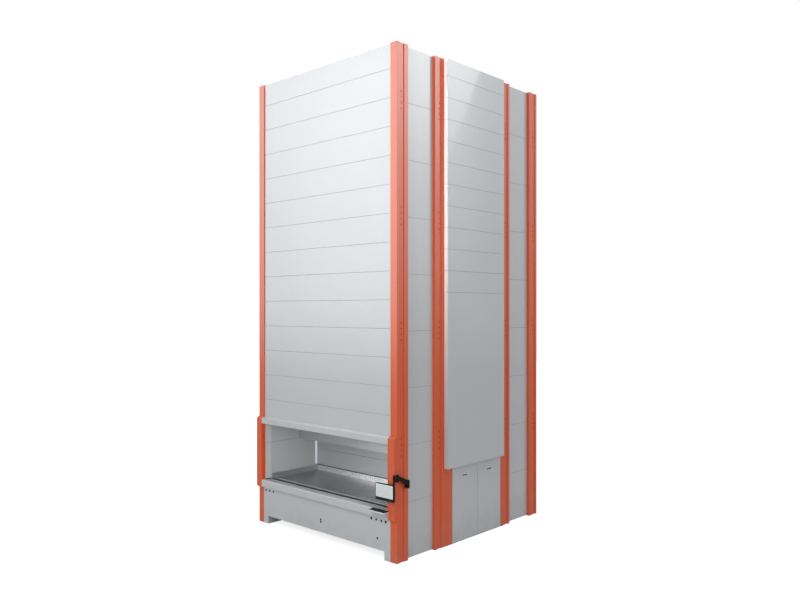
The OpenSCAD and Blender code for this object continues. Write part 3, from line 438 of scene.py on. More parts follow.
finishes["light_cover"] = glowing(
    "opal_light_cover", (0.8, 0.82, 0.85, 1), (0.72, 0.75, 0.78, 1), 0.3, 0.5, 12.0,
)
finishes["display"] = glowing(
    "display_glass", (0.6, 0.64, 0.63, 1), (0.56, 0.6, 0.595, 1), 0.25, 0.12, 9.0,
    border=(0.8, 0.82, 0.82, 1),
)
print("lit", finishes["light_cover"].name, finishes["display"].name)

# %% [markdown]
# Every CAD node first gets the finish of its slot. A node that is replaced further on is hidden, and
# the piece that stands for it takes the same finish, so nothing is left with a plain colour.

# %% Finishes on the CAD nodes
for node_name, node in frame["nodes"].items():
    node.data.materials.clear()
    node.data.materials.append(finishes[slot_of[node_name]])
print("finished nodes", len(frame["nodes"]))

# %% [markdown]
# A piece is worked on as a bmesh and then settled: it becomes a smooth mesh whose sharp edges stay sharp
# and whose flat faces stay flat, it rides on a body and takes its slot's finish or one of its own. The CAD
# nodes that a piece stands for are hidden. The copy of a node has its loose triangles joined into whole
# flat faces first.

# %% From bmesh to finished piece
SHARP = math.radians(40)
SAME_SPOT = 1e-6
FLAT = math.radians(0.3)


def settle(bm, name, body, slot, finish=None, replaced=()):
    """Makes a finished piece of a bmesh: smooth, with flat faces kept flat, riding on its body."""
    mesh = bpy.data.meshes.new(name)
    bm.to_mesh(mesh)
    bm.free()
    mesh.materials.append(finish or finishes[slot])
    mesh.shade_smooth()
    mesh.set_sharp_from_angle(angle=SHARP)
    piece = bpy.data.objects.new(name, mesh)
    bpy.context.scene.collection.objects.link(piece)
    piece.modifiers.new("even_normals", "WEIGHTED_NORMAL").keep_sharp = True
    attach(piece, body)
    if replaced:
        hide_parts(*replaced)
    return piece


def merged_copy(node):
    """A CAD node's mesh with its loose triangles joined into whole flat faces."""
    bm = bmesh.new()
    bm.from_mesh(frame["nodes"][node].data)
    bmesh.ops.remove_doubles(bm, verts=bm.verts, dist=SAME_SPOT)
    bmesh.ops.dissolve_limit(bm, angle_limit=FLAT, verts=bm.verts, edges=bm.edges)
    return bm


def soften(bm, geom, radius, segments, affect="EDGES"):
    """Rounds edges, or the corners of a flat face, and gives the faces that this makes."""
    return bmesh.ops.bevel(
        bm, geom=geom, offset=radius, offset_type="OFFSET", segments=segments, profile=0.5,
        affect=affect, clamp_overlap=True, material=-1,
    )["faces"]


print("edges stay sharp from", round(math.degrees(SHARP)), "degrees")

# %% [markdown]
# Folded sheet has no sharp outer corner: each fold has a radius of a few millimetres, and that rounded
# strip is what catches the light along a panel. The outward edges between two broad faces are bevelled.
# Cut edges, which are as thin as the sheet, stay as they are. The strips are marked in the attribute
# that the rub marks read.

# %% Rounding the folds
OUTWARD = math.radians(20)
BROAD = 0.008
POSTS = ("front_posts", "mid_posts", "rear_posts")
POST_FOLD = 0.004


def reach(face, edge):
    """How far a face reaches from one of its edges."""
    start = edge.verts[0].co
    along = (edge.verts[1].co - start).normalized()
    return max(((vert.co - start) - along * (vert.co - start).dot(along)).length for vert in face.verts)


def is_fold(edge, least):
    """An outward edge between two faces that are both broader than a cut edge."""
    if not edge.is_manifold or edge.calc_face_angle_signed() < OUTWARD:
        return False
    return all(reach(face, edge) > least for face in edge.link_faces)


def round_folds(bm, radius, least=BROAD, segments=2):
    """Bevels the folds of a merged copy and marks the rounded strips."""
    fold = bm.faces.layers.float.new("fold")
    edges = [edge for edge in bm.edges if is_fold(edge, least)]
    for face in soften(bm, edges, radius, segments):
        face[fold] = 1.0
    return len(edges)


def folded(node, radius, least=BROAD, segments=2, finish=None):
    """A CAD node with its folds rounded, in the node's own place."""
    bm = merged_copy(node)
    count = round_folds(bm, radius, least, segments)
    piece = settle(bm, node + "_folded", body_of[node], slot_of[node], finish, (node,))
    print(piece.name, count, "folds,", len(piece.data.polygons), "faces")
    return piece


for node_name in POSTS:
    folded(node_name, POST_FOLD)

# %% [markdown]
# The panels between the posts are trays of thin sheet: each has a flat face and its edges turned in.
# A row of them shows as a fine gap with a soft bright line on each side, which is the rounding. The
# centre cover's front edge is marked for a painted highlight, white in its upper part.

# %% Panels
PANEL_FOLD = 0.0025
COVER_FOLD = 0.003
HIGHLIGHT_BAND = 0.004
FORWARD = -0.6
for node_name in ("front_panels", "rear_panels", "front_bay_panels", "rear_bay_panels"):
    folded(node_name, PANEL_FOLD)
folded("roof_panel", COVER_FOLD)
for node_name in ("right_cover_panels", "left_cover_panels"):
    cover = folded(node_name, COVER_FOLD).data
    # Faces on the cover's front edge are marked for the painted white highlight.
    edge = cover.attributes.new("edge", "FLOAT", "FACE")
    front_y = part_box(node_name)[0].y
    for face, mark in zip(cover.polygons, edge.data):
        at_highlight = face.normal.y < FORWARD and face.center.y < front_y + HIGHLIGHT_BAND
        mark.value = 1.0 if at_highlight else 0.0

# %% [markdown]
# Around the opening the sheets are thicker and folded further: the guards over the posts, the lintel
# with its slanted top, the sill with its fascia and the base panel on its two feet. A thicker sheet is
# bent with a larger radius, so the radius is given for each of them.

# %% Frame of the opening
OPENING_FOLDS = {
    "left_guard": 0.003, "right_guard": 0.003, "lintel": 0.005, "sill": 0.005,
    "base_panel": 0.002, "keypad_shelf": 0.002,
}
for node_name, radius in OPENING_FOLDS.items():
    folded(node_name, radius)

# %% [markdown]
# Inside the opening the sheets have a darker coat, which is painted shade: the linings, which flare
# towards the guards, the hood with its hanging baffle and the hatch at the back.

# %% Inside of the opening
LINING_FOLD = 0.002
for node_name in ("opening_linings", "hood", "hatch"):
    folded(node_name, LINING_FOLD, finish=shaded_inner_grey)

# %% [markdown]
# Behind the panels the frame, the racks, the guides and the lift carriage are plain steelwork. It is seen
# only through an open door or under the raised hatch, so a small rounding on its long edges is enough.

# %% Steelwork inside
STEEL_FOLD = 0.0015
HOUSING_FOLD = 0.002
for node_name in (
    "base_frame", "top_frame", "front_racks", "rear_racks", "guide_rails", "hatch_guides",
    "carriage_frame", "idler_brackets", "shaft_bearings", "belt_clamps", "guide_shoes",
):
    folded(node_name, STEEL_FOLD)
for node_name in ("extractor_bar", "extractor_motor", "lift_gear_motor", "light_curtains", "keypad"):
    folded(node_name, HOUSING_FOLD)

# %% [markdown]
# The service doors and the orange strip beside them close the foot of the shaft. A door is one sheet with
# its edges turned in, so it is rounded like a panel rather than modelled anew, and it rides on a body of
# its own, which turns on the hinge pins.

# %% Service doors
DOOR_FOLD = 0.002
for node_name in ("front_door", "rear_door", "door_strip", "door_frame"):
    folded(node_name, DOOR_FOLD)

# %% [markdown]
# The trays are one sheet each, with the walls turned up and a rim turned over for the hand. The floor is
# a darker steel, while the wall at the back is painted paler and less metallic, which is painted light,
# and the side walls partly so. The inner faces of these walls are marked in an attribute that the finish
# reads.

# %% Trays
TRAYS = ("access_tray", "front_tray_low", "front_tray_high", "rear_tray_low", "rear_tray_high")
TRAY_FOLD = 0.003
UPRIGHT = 0.7
REAR_ZONE = 0.3
SIDE_WALL_LIGHT = 0.3
for node_name in TRAYS:
    tray = folded(node_name, TRAY_FOLD, finish=tray_steel).data
    low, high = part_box(node_name)
    outward = 1.0 if low.y < 0 else -1.0
    wall = tray.attributes.new("wall", "FLOAT", "FACE")
    middle = (low.y + high.y) / 2
    for face, mark in zip(tray.polygons, wall.data):
        if face.normal.y * outward < -UPRIGHT and (face.center.y - middle) * outward > REAR_ZONE:
            mark.value = 1.0
        elif face.normal.x * face.center.x < 0 and abs(face.normal.x) > UPRIGHT:
            mark.value = SIDE_WALL_LIGHT

# %% [markdown]
# Small fittings come from three tools. A turned piece is a profile that is spun about an axis, as on a
# lathe. A moulded block is a cube with all its edges bevelled. A pressed strip is a profile that is
# extruded along a line. The sizes are read from the CAD nodes that the fittings sit on.

# %% Tools for small fittings
def turned(bm, profile, spot, axis, steps=16):
    """Spins a profile of (radius, height) pairs about an axis through a spot."""
    along = Vector(axis)
    side = along.orthogonal().normalized()
    verts = [bm.verts.new(Vector(spot) + side * radius + along * height) for radius, height in profile]
    edges = [bm.edges.new(pair) for pair in zip(verts, verts[1:])]
    bmesh.ops.spin(
        bm, geom=verts + edges, cent=spot, axis=along, angle=math.tau, steps=steps, use_merge=True,
    )


def moulded_block(bm, low, high, radius, segments=2):
    """A block between two corners with all its edges rounded."""
    low, high = Vector(low), Vector(high)
    scale = Matrix.Diagonal((high - low).to_4d())
    scale[3][3] = 1.0
    made = bmesh.ops.create_cube(bm, size=1.0, matrix=Matrix.Translation((low + high) / 2) @ scale)
    edges = list({edge for vert in made["verts"] for edge in vert.link_edges})
    soften(bm, edges, radius, segments)


def pressed_strip(bm, profile, along):
    """Extrudes an open profile of points along a vector."""
    verts = [bm.verts.new(point) for point in profile]
    edges = [bm.edges.new(pair) for pair in zip(verts, verts[1:])]
    made = bmesh.ops.extrude_edge_only(bm, edges=edges)["geom"]
    moved = [item for item in made if isinstance(item, bmesh.types.BMVert)]
    bmesh.ops.translate(bm, vec=along, verts=moved)


def fitting(bm, name, body, slot, finish=None, replaced=()):
    """Joins a fitting's loose corners, turns its faces outward and settles it."""
    bmesh.ops.remove_doubles(bm, verts=bm.verts, dist=SAME_SPOT)
    bmesh.ops.recalc_face_normals(bm, faces=bm.faces)
    piece = settle(bm, name, body, slot, finish, replaced)
    print(piece.name, len(piece.data.polygons), "faces")


print("tools", turned.__name__, moulded_block.__name__, pressed_strip.__name__)

# %% [markdown]
# One CAD node can hold many solids, such as all the panels of a bay. Where fittings belong to each of
# them, the corner points are sorted into groups that edges join. The ends of a group give its place.

# %% Solids of a node
def solids(node):
    """The corner points of each separate solid in a CAD node."""
    bm = merged_copy(node)
    left = set(bm.verts)
    groups = []
    while left:
        found, waiting = [], [left.pop()]
        while waiting:
            vert = waiting.pop()
            found.append(vert.co.copy())
            for edge in vert.link_edges:
                other = edge.other_vert(vert)
                if other in left:
                    left.remove(other)
                    waiting.append(other)
        groups.append(found)
    bm.free()
    return groups


def ends(points, axis):
    """The lowest and the highest place of some points along one axis."""
    places = [point[axis] for point in points]
    return min(places), max(places)


print("solids in the posts", len(solids("mid_posts")))

# %% [markdown]
# In the channel of every post there are groups of four round holes, one group for each second panel of
# the bay beside it, where the posts are bolted together from lengths. They are closed with small caps,
# whose darker orange is painted shade of the holes. Each cap is turned: a rim with a dished middle. The
# floor of the channel is found by its depth.

# %% Caps in the post channels
CAP = ((0.0, 0.0008), (0.0055, 0.0008), (0.007, 0.003), (0.0085, 0.003), (0.0095, 0.0))
CAP_STEPS = (-0.105, -0.035, 0.035, 0.105)
CHANNEL_DEPTH = (0.008, 0.012)


def channel_floor(points):
    """The side, the place across and the middle of a post's channel."""
    low, high = ends(points, 0)
    outer = high if high > 0 else low
    floor = [point for point in points if CHANNEL_DEPTH[0] < abs(outer - point.x) < CHANNEL_DEPTH[1]]
    near, far = ends(floor, 1)
    return math.copysign(1.0, outer), floor[0].x, (near + far) / 2


bay_tops = sorted({round(ends(points, 2)[1], 3) for points in solids("front_bay_panels")}, reverse=True)
bm = bmesh.new()
for node_name in POSTS:
    for points in solids(node_name):
        facing, across, middle = channel_floor(points)
        for height in bay_tops[1::2]:
            for step in CAP_STEPS:
                turned(bm, CAP, (across, middle, height + step), (facing, 0, 0), steps=10)
fitting(bm, "post_caps", "cabinet", "orange_paint", finish=cap_shade_orange)

# %% [markdown]
# The row under the sill has two push buttons and a few closed holes. A button is dished for the finger
# and stands in a ring. A closed hole has a dished cap with a thin flange that lies on the panel. All are
# turned from profiles that follow the radius of the CAD piece, so they fit it whatever its size.

# %% Push buttons and closed holes
def front_disc(points):
    """The middle of a round piece on its foremost plane, its radius and its length."""
    (x0, x1), (y0, y1), (z0, z1) = (ends(points, axis) for axis in range(3))
    return Vector(((x0 + x1) / 2, y0, (z0 + z1) / 2)), (x1 - x0) / 2, y1 - y0


FLANGE = 0.0035
panel_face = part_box("base_panel")[0].y
rings = bmesh.new()
for node_name in ("right_button", "left_button"):
    spot, radius, length = front_disc(solids(node_name)[0])
    bm = bmesh.new()
    turned(bm, (
        (0.0, -0.0016), (radius * 0.55, -0.0012), (radius * 0.8, 0.0), (radius * 0.93, -0.0004),
        (radius, -0.002), (radius, -length), (0.0, -length),
    ), spot, (0, -1, 0), steps=32)
    fitting(bm, node_name + "_cap", body_of[node_name], slot_of[node_name], replaced=(node_name,))
    turned(rings, (
        (radius + 0.0006, 0.0), (radius + 0.0006, 0.003), (radius + 0.003, 0.0036), (radius + 0.005, 0.0),
    ), (spot.x, panel_face, spot.z), (0, -1, 0), steps=32)
fitting(rings, "button_rings", "cabinet", "black_plastic")

bm = bmesh.new()
for points in solids("panel_plugs"):
    spot, radius, length = front_disc(points)
    turned(bm, (
        (0.0, -0.0012), (radius * 0.6, -0.001), (radius * 0.72, 0.0), (radius * 0.9, -0.0003),
        (radius, -0.0016), (radius, 0.0012 - length), (radius + FLANGE, 0.0008 - length),
        (radius + FLANGE, -length), (0.0, -length),
    ), spot, (0, -1, 0), steps=24)
fitting(bm, "panel_plug_caps", "cabinet", "black_plastic", replaced=("panel_plugs",))

# %% [markdown]
# The seam between the lower and the upper lining is backed by a rubber strip, which shows as a fine dark
# line, and another one closes the foot of the flare on the sill. Both follow the lining's own line. They
# are pressed from it and given a thickness. Their near-black is partly painted shadow along these seams.

# %% Seals of the linings
SEAL = (0.012, 0.001)
BEHIND_SHEET = 0.0022
FOOT_SHIFT = 0.005
SILL_GAP = 0.0002
hood_low, hood_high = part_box("hood")
guard_low, guard_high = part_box("right_guard")
sill_low, sill_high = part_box("sill")
lining_x = hood_high.x + BEHIND_SHEET
line = (
    (guard_low.x + BEHIND_SHEET, guard_high.y + 0.003), (lining_x, sill_high.y),
    (lining_x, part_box("opening_linings")[1].y - 0.004),
)
seam_z = hood_low.z - SEAL[0] / 2
bm = bmesh.new()
for facing in (-1, 1):
    pressed_strip(bm, [(facing * x, y, seam_z) for x, y in line], (0, 0, SEAL[0]))
    foot = [(facing * (x - FOOT_SHIFT), y, sill_high.z + SILL_GAP) for x, y in line[:2]]
    pressed_strip(bm, foot, (0, 0, SEAL[0]))
bmesh.ops.recalc_face_normals(bm, faces=bm.faces)
bmesh.ops.solidify(bm, geom=list(bm.faces), thickness=SEAL[1])
# Near-black rubber: partly painted shadow along the lining seams.
fitting(bm, "lining_seals", "cabinet", "belt_rubber")

# %% [markdown]
# Rubber lips under the hatch and behind the sill keep dust out. The one under the hatch stays inside the
# hood's width, and the one behind the sill fills the gap in front of the tray, below the tray's path; its
# black is painted shade in that gap.

# %% Lips of the hatch and the sill
HATCH_LIP = {"inset": 0.004, "drop": 0.0056, "overlap": 0.001}
SILL_LIP = {"inset": 0.006, "foot": 0.02, "head": 0.008}
hatch_low, hatch_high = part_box("hatch")
lip_x = hood_high.x - HATCH_LIP["inset"]
bm = bmesh.new()
moulded_block(
    bm, (-lip_x, hatch_low.y + HATCH_LIP["inset"], hatch_low.z - HATCH_LIP["drop"]),
    (lip_x, hatch_high.y - HATCH_LIP["inset"], hatch_low.z + HATCH_LIP["overlap"]), 0.0015, 2,
)
fitting(bm, "hatch_lip", "hatch", "belt_rubber")

tray_low, tray_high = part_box("access_tray")
lip_x = lining_x - SILL_LIP["inset"]
bm = bmesh.new()
moulded_block(
    bm, (-lip_x, sill_high.y + 0.0005, sill_high.z - SILL_LIP["foot"]),
    (lip_x, tray_low.y - 0.001, sill_high.z - SILL_LIP["head"]), 0.001, 2,
)
# The black lip behind the sill is painted shade in the gap before the tray.
fitting(bm, "sill_lip", "cabinet", "belt_rubber")

# %% [markdown]
# Grey rubber fills the gaps between the panels, a little below their faces, so that a seam is a soft line
# and no light comes through it. Each filler lies between the top of one panel and the foot of the next.

# %% Fillers of the panel seams
FILLER_DROP = 0.0015
FILLER_DEPTH = 0.008
FILLER_INSET = 0.004
SEAM_WIDTH = (0.0005, 0.006)


def seam_fillers(bm, node, axis):
    """Fills the gaps between a node's panels; the axis is the one that their faces look along."""
    rows = {-1: [], 1: []}
    for points in solids(node):
        box = [ends(points, index) for index in range(3)]
        rows[1 if sum(box[axis]) > 0 else -1].append(box)
    for facing, boxes in rows.items():
        boxes.sort(key=lambda box: box[2])
        for lower, upper in zip(boxes, boxes[1:]):
            if not SEAM_WIDTH[0] < upper[2][0] - lower[2][1] < SEAM_WIDTH[1]:
                continue
            face = lower[axis][1] if facing > 0 else lower[axis][0]
            deep = sorted((face - facing * FILLER_DROP, face - facing * FILLER_DEPTH))
            along = lower[1 - axis]
            corners = []
            for end, inset in ((0, FILLER_INSET), (1, -FILLER_INSET)):
                corner = [0.0, 0.0, (lower[2][1], upper[2][0])[end]]
                corner[axis] = deep[end]
                corner[1 - axis] = along[end] + inset
                corners.append(corner)
            moulded_block(bm, *corners, 0.0004, 1)


bm = bmesh.new()
for node_name, axis in (
    ("front_panels", 1), ("rear_panels", 1), ("front_bay_panels", 0), ("rear_bay_panels", 0),
    ("right_cover_panels", 0), ("left_cover_panels", 0),
):
    seam_fillers(bm, node_name, axis)
fitting(bm, "seam_fillers", "cabinet", "belt_rubber", finish=seam_rubber)

# %% [markdown]
# The tread on the sill is a strip of bare steel with pressed ribs, because trays are dragged over it. Its
# front edge follows the bevel of the sill, and it ends where the guards begin. Its darker, duller grey is
# partly painted shade on the sill top.

# %% Tread on the sill
TREAD = 0.0006
RIB = 0.0012
RIBS = 9
TREAD_INSET = (0.016, 0.002)
TREAD_PAST_TRAY = 0.006
tread_y = (sill_low.y + TREAD_INSET[0], sill_high.y - TREAD_INSET[1])
tread_x = tray_high.x + TREAD_PAST_TRAY
rib_w = (tread_y[1] - tread_y[0]) / (2 * RIBS + 1)
profile = [(-tread_x, tread_y[0], sill_high.z), (-tread_x, tread_y[0], sill_high.z + TREAD)]
for index in range(RIBS):
    start = tread_y[0] + (2 * index + 1) * rib_w
    for shift, lift in ((0.0, TREAD), (0.3, RIB), (0.7, RIB), (1.0, TREAD)):
        profile.append((-tread_x, start + shift * rib_w, sill_high.z + lift))
profile += [(-tread_x, tread_y[1], sill_high.z + TREAD), (-tread_x, tread_y[1], sill_high.z)]
bm = bmesh.new()
pressed_strip(bm, profile, (2 * tread_x, 0, 0))
fitting(bm, "sill_tread", "cabinet", "zinc_sheet", finish=tread_steel)

# %% [markdown]
# The walls of a tray have rows of slots, so that dividers can be hung in it wherever they are wanted. A
# slot is a stretched circle that is inset and pushed back, which gives it a rim and a dark floor.

# %% Slots in the tray walls
SLOT = (0.007, 0.0025)
SLOT_RIM = 0.0008
SLOT_PITCH = 0.045
SLOT_ROWS = (0.034, 0.052)
SLOT_PROUD = 0.0004
SLOT_MARGINS = (0.1, 0.16)
SLOT_SHIFT = 0.02
WALL = 0.002


def wall_slot(bm, spot, facing):
    """One slot on a wall: a stretched disc with an inset floor."""
    turn = Vector((0, 0, 1)).rotation_difference(Vector(facing)).to_matrix().to_4x4()
    wide, tall = SLOT if facing[0] == 0 else reversed(SLOT)
    level = Matrix.Diagonal((wide, tall, 1.0, 1.0))
    made = bmesh.ops.create_circle(
        bm, cap_ends=True, segments=10, radius=1.0, matrix=Matrix.Translation(spot) @ turn @ level,
    )
    face = made["verts"][0].link_faces[0]
    bmesh.ops.inset_region(
        bm, faces=[face], thickness=SLOT_RIM, depth=-0.0002, use_boundary=True, use_even_offset=True,
    )


def slotted_walls(node):
    low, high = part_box(node)
    at_front = low.y < 0
    rear = high.y - WALL if at_front else low.y + WALL
    toward = -1.0 if at_front else 1.0
    middle = (low.y + high.y) / 2
    across = int((high.x - low.x - SLOT_MARGINS[0]) / SLOT_PITCH)
    along = int((high.y - low.y - SLOT_MARGINS[1]) / SLOT_PITCH)
    bm = bmesh.new()
    for row in SLOT_ROWS:
        for index in range(across + 1):
            x = (index - across / 2) * SLOT_PITCH
            wall_slot(bm, (x, rear + toward * SLOT_PROUD, low.z + row), (0, toward, 0))
        for index in range(along + 1):
            y = middle - toward * SLOT_SHIFT + (index - along / 2) * SLOT_PITCH
            wall_slot(bm, (low.x + WALL + SLOT_PROUD, y, low.z + row), (1, 0, 0))
            wall_slot(bm, (high.x - WALL - SLOT_PROUD, y, low.z + row), (-1, 0, 0))
    piece = settle(bm, node + "_slots", body_of[node], "black_plastic")
    print(piece.name, len(piece.data.polygons), "faces")


for node_name in TRAYS:
    slotted_walls(node_name)

# %% [markdown]
# The light strip in the rear corner of the opening is an opal extrusion with round shoulders, held at
# both ends by grey caps. The shoulders are bevels with more steps than a fold has, because an extrusion
# is rounder than bent sheet. Each cap is a moulded block that stands a little proud of the strip.

# %% Light strips and their caps
STRIP_SHOULDER = 0.004
CAP_LENGTH = 0.012
CAP_PROUD = (0.0005, 0.001, 0.001)
folded("light_strips", STRIP_SHOULDER, least=0.006, segments=4)
proud = Vector(CAP_PROUD)
bm = bmesh.new()
for points in solids("light_strips"):
    (x0, x1), (y0, y1), (z0, z1) = (ends(points, axis) for axis in range(3))
    low, high = Vector((x0, y0, z0)) - proud, Vector((x1, y1, z1)) + proud
    moulded_block(bm, low, (high.x, high.y, z0 + CAP_LENGTH), 0.003, 3)
    moulded_block(bm, (low.x, low.y, z1 - CAP_LENGTH), high, 0.003, 3)
fitting(bm, "light_strip_caps", "cabinet", "grey_paint")

# %% [markdown]
# The recessed pulls of the service doors have a pale rim on the door sheet, a painted highlight, and a
# dark rubber pad low on the floor of the recess, which is painted shade. The rim is a rounded frame: a
# flat rectangle, inset, opened in the middle and given its thickness. The pad is a moulded block.

# %% Rims and pads of the door pulls
PULL = (0.110, 0.025)
PULL_DROP = 0.140
PULL_DEPTH = 0.013
RIM = 0.005
RIM_LAP = 0.001
RIM_CORNER = 0.006
RIM_THICK = 0.0015
PAD_THICK = 0.002
PAD_HEIGHT = 0.018
PAD_GAP = 0.001
# The rim's pale coat is a painted highlight.
rim_highlight = sprayed_coat("pull_rim_highlight_coat", (0.86, 0.87, 0.88, 1), 0.3, coat=0.5, dust=0.0)


def pull_rim(node):
    low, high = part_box(node)
    centre = Vector((high.x, (low.y + high.y) / 2, high.z - PULL_DROP))
    bm = bmesh.new()
    size = Matrix.Diagonal((PULL[1] / 2 + RIM, PULL[0] / 2 + RIM, 1.0, 1.0))
    turn = Matrix.Rotation(math.pi / 2, 4, "Y")
    spot = Matrix.Translation(centre) @ turn @ size
    bmesh.ops.create_grid(bm, x_segments=1, y_segments=1, size=1.0, matrix=spot)
    soften(bm, list(bm.verts), RIM_CORNER, 4, affect="VERTICES")
    bmesh.ops.inset_region(
        bm, faces=list(bm.faces), thickness=RIM + RIM_LAP, depth=0.0,
        use_boundary=True, use_even_offset=True,
    )
    inner = max(bm.faces, key=lambda face: face.calc_area())
    bmesh.ops.delete(bm, geom=[inner], context="FACES_ONLY")
    bmesh.ops.solidify(bm, geom=list(bm.faces), thickness=-RIM_THICK)
    fitting(bm, node + "_pull_rim", body_of[node], "grey_paint", finish=rim_highlight)


# A dark pad on the lower floor of the recess: painted shade.
def pull_shade_pad(node):
    low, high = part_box(node)
    floor_x, middle = high.x - PULL_DEPTH, (low.y + high.y) / 2
    foot = high.z - PULL_DROP - PULL[1] / 2
    bm = bmesh.new()
    moulded_block(
        bm, (floor_x + 0.0002, middle - PULL[0] / 2 + PAD_GAP, foot + PAD_GAP),
        (floor_x + PAD_THICK, middle + PULL[0] / 2 - PAD_GAP, foot + PAD_HEIGHT), 0.0006, 2,
    )
    fitting(bm, node + "_pull_shade_pad", body_of[node], "belt_rubber", finish=seam_rubber)


for node_name in ("front_door", "rear_door"):
    pull_rim(node_name)
    pull_shade_pad(node_name)

# %% [markdown]
# The screen is a flat display in a moulded housing: its corners are rounded first with a large radius,
# and then all its edges with a small one. The glass has a pale border around the lit area, which is an
# inset of its front face. The area is marked so that the finish can tint it. A black chin below it makes
# the frame broader there.

# %% Screen and display
CORNER = 0.010
HOUSING_EDGE = 0.002
GLASS_BORDER = 0.008
CHIN = 0.014
AT = 1e-4


def rounded_housing(node):
    bm = merged_copy(node)
    low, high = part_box(node)

    def at_corner(edge):
        return all(
            min(abs(vert.co.x - low.x), abs(vert.co.x - high.x)) < AT
            and min(abs(vert.co.z - low.z), abs(vert.co.z - high.z)) < AT for vert in edge.verts
        ) and abs((edge.verts[0].co - edge.verts[1].co).normalized().y) > 0.99

    corners = [edge for edge in bm.edges if at_corner(edge)]
    soften(bm, corners, CORNER, 5)
    round_folds(bm, HOUSING_EDGE, 0.004, 3)
    piece = settle(bm, node + "_housing", body_of[node], slot_of[node], replaced=(node,))
    print(piece.name, len(corners), "corners,", len(piece.data.polygons), "faces")


def lit_glass(node, border):
    bm = merged_copy(node)
    panel = bm.faces.layers.float.new("panel")
    front = min(bm.faces, key=lambda face: face.calc_center_median().y)
    bmesh.ops.inset_region(bm, faces=[front], thickness=border, depth=0.0, use_even_offset=True)
    front[panel] = 1.0
    piece = settle(bm, node + "_lit", body_of[node], slot_of[node], replaced=(node,))
    print(piece.name, len(piece.data.polygons), "faces")


rounded_housing("screen")
lit_glass("screen_glass", GLASS_BORDER)
glass_low, glass_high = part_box("screen_glass")
bm = bmesh.new()
moulded_block(
    bm, (glass_low.x, glass_low.y - 0.001, glass_low.z - 0.002),
    (glass_high.x, glass_low.y + 0.001, glass_low.z + CHIN), 0.0008, 2,
)
fitting(bm, "screen_chin", body_of["screen"], "black_plastic")

# %% [markdown]
# The arm's links are castings with rounded edges. A turned cap closes each pivot, and four cap screws
# hold the bracket on the post. Plain cylinders would do from afar, but a turned profile gives a cap the
# rounded edge, and a screw the socket, that catch the light close up.

# %% Arm, pivot caps and bracket screws
SCREW = (
    (0.0, 0.0016), (0.0022, 0.0016), (0.0026, 0.0036), (0.0048, 0.0036), (0.0055, 0.0028), (0.0055, 0.0),
)
CASTING_EDGE = 0.003
PLATE = 0.008
SCREW_Y = (0.011, 0.061)
SCREW_Z = 0.012
for node_name in ("arm_bracket", "arm_link", "screen_support"):
    folded(node_name, CASTING_EDGE, least=0.006, segments=3)
link_low, link_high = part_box("arm_link")
boss = (link_high.x - link_low.x) / 2
arm_x = (link_high.x + link_low.x) / 2
pivots = {"arm_bracket": link_high.y - boss, "screen_support": link_low.y + boss}
for node_name, pivot_y in pivots.items():
    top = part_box(node_name)[1].z if node_name == "arm_bracket" else link_high.z
    bm = bmesh.new()
    turned(bm, (
        (0.0, 0.006), (boss * 0.5, 0.0055), (boss * 0.8, 0.004), (boss * 0.9, 0.0015),
        (boss * 0.9, 0.0005), (0.0, 0.0005),
    ), (arm_x, pivot_y, top), (0, 0, 1), steps=32)
    fitting(bm, node_name + "_cap", body_of[node_name], "black_plastic")

post_face, post_back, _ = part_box("front_posts")[1]
bracket_low, bracket_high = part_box("arm_bracket")
bm = bmesh.new()
for inward in SCREW_Y:
    for z in (bracket_low.z + SCREW_Z, bracket_high.z - SCREW_Z):
        turned(bm, SCREW, (post_face + PLATE, post_back - inward, z), (1, 0, 0), steps=18)
fitting(bm, "bracket_screws", "cabinet", "bright_steel")

# %% [markdown]
# The keypad is a sealed membrane: its keys are low pads embossed in one sheet, so that no dust gets in,
# and they have no travel of their own. They are laid out flat, in rows, and then turned together onto the
# slope of the keypad's top, which is simpler than placing each key on it.

# %% Embossed keys
KEYS = (14, 5)
KEY_GAP = 0.0035
KEY_LIFT = 0.0009
KEY_ROOT = 0.001
EDGE = 0.008
pad_low, pad_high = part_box("keypad")
top_points = [point for point in solids("keypad")[0] if point.z > pad_low.z + 0.001]
front_z = min(point.z for point in top_points)
slope = math.atan2(pad_high.z - front_z, pad_high.y - pad_low.y)
run = (pad_high.y - pad_low.y) / math.cos(slope)
key_x = (pad_high.x - pad_low.x - 2 * EDGE) / KEYS[0]
key_y = (run - 2 * EDGE) / KEYS[1]
bm = bmesh.new()
for column in range(KEYS[0]):
    for row in range(KEYS[1]):
        x, y = EDGE + column * key_x, EDGE + row * key_y
        start = (x + KEY_GAP / 2, y + KEY_GAP / 2, -KEY_ROOT)
        end = (x + key_x - KEY_GAP / 2, y + key_y - KEY_GAP / 2, KEY_LIFT)
        moulded_block(bm, start, end, 0.0008, 1)
bmesh.ops.rotate(bm, verts=bm.verts, cent=(0, 0, 0), matrix=Matrix.Rotation(slope, 3, "X"))
bmesh.ops.translate(bm, verts=bm.verts, vec=(pad_low.x, pad_low.y, front_z))
fitting(bm, "keypad_keys", "cabinet", "black_plastic", finish=key_skin)

# %% [markdown]
# The lift's gear motor stands behind the rear service door. Its motor has cooling ribs along its body, a
# fan cover with ring grooves at its end and a terminal box on its side. One rib is made on top and spun
# round the shaft's line in equal steps.

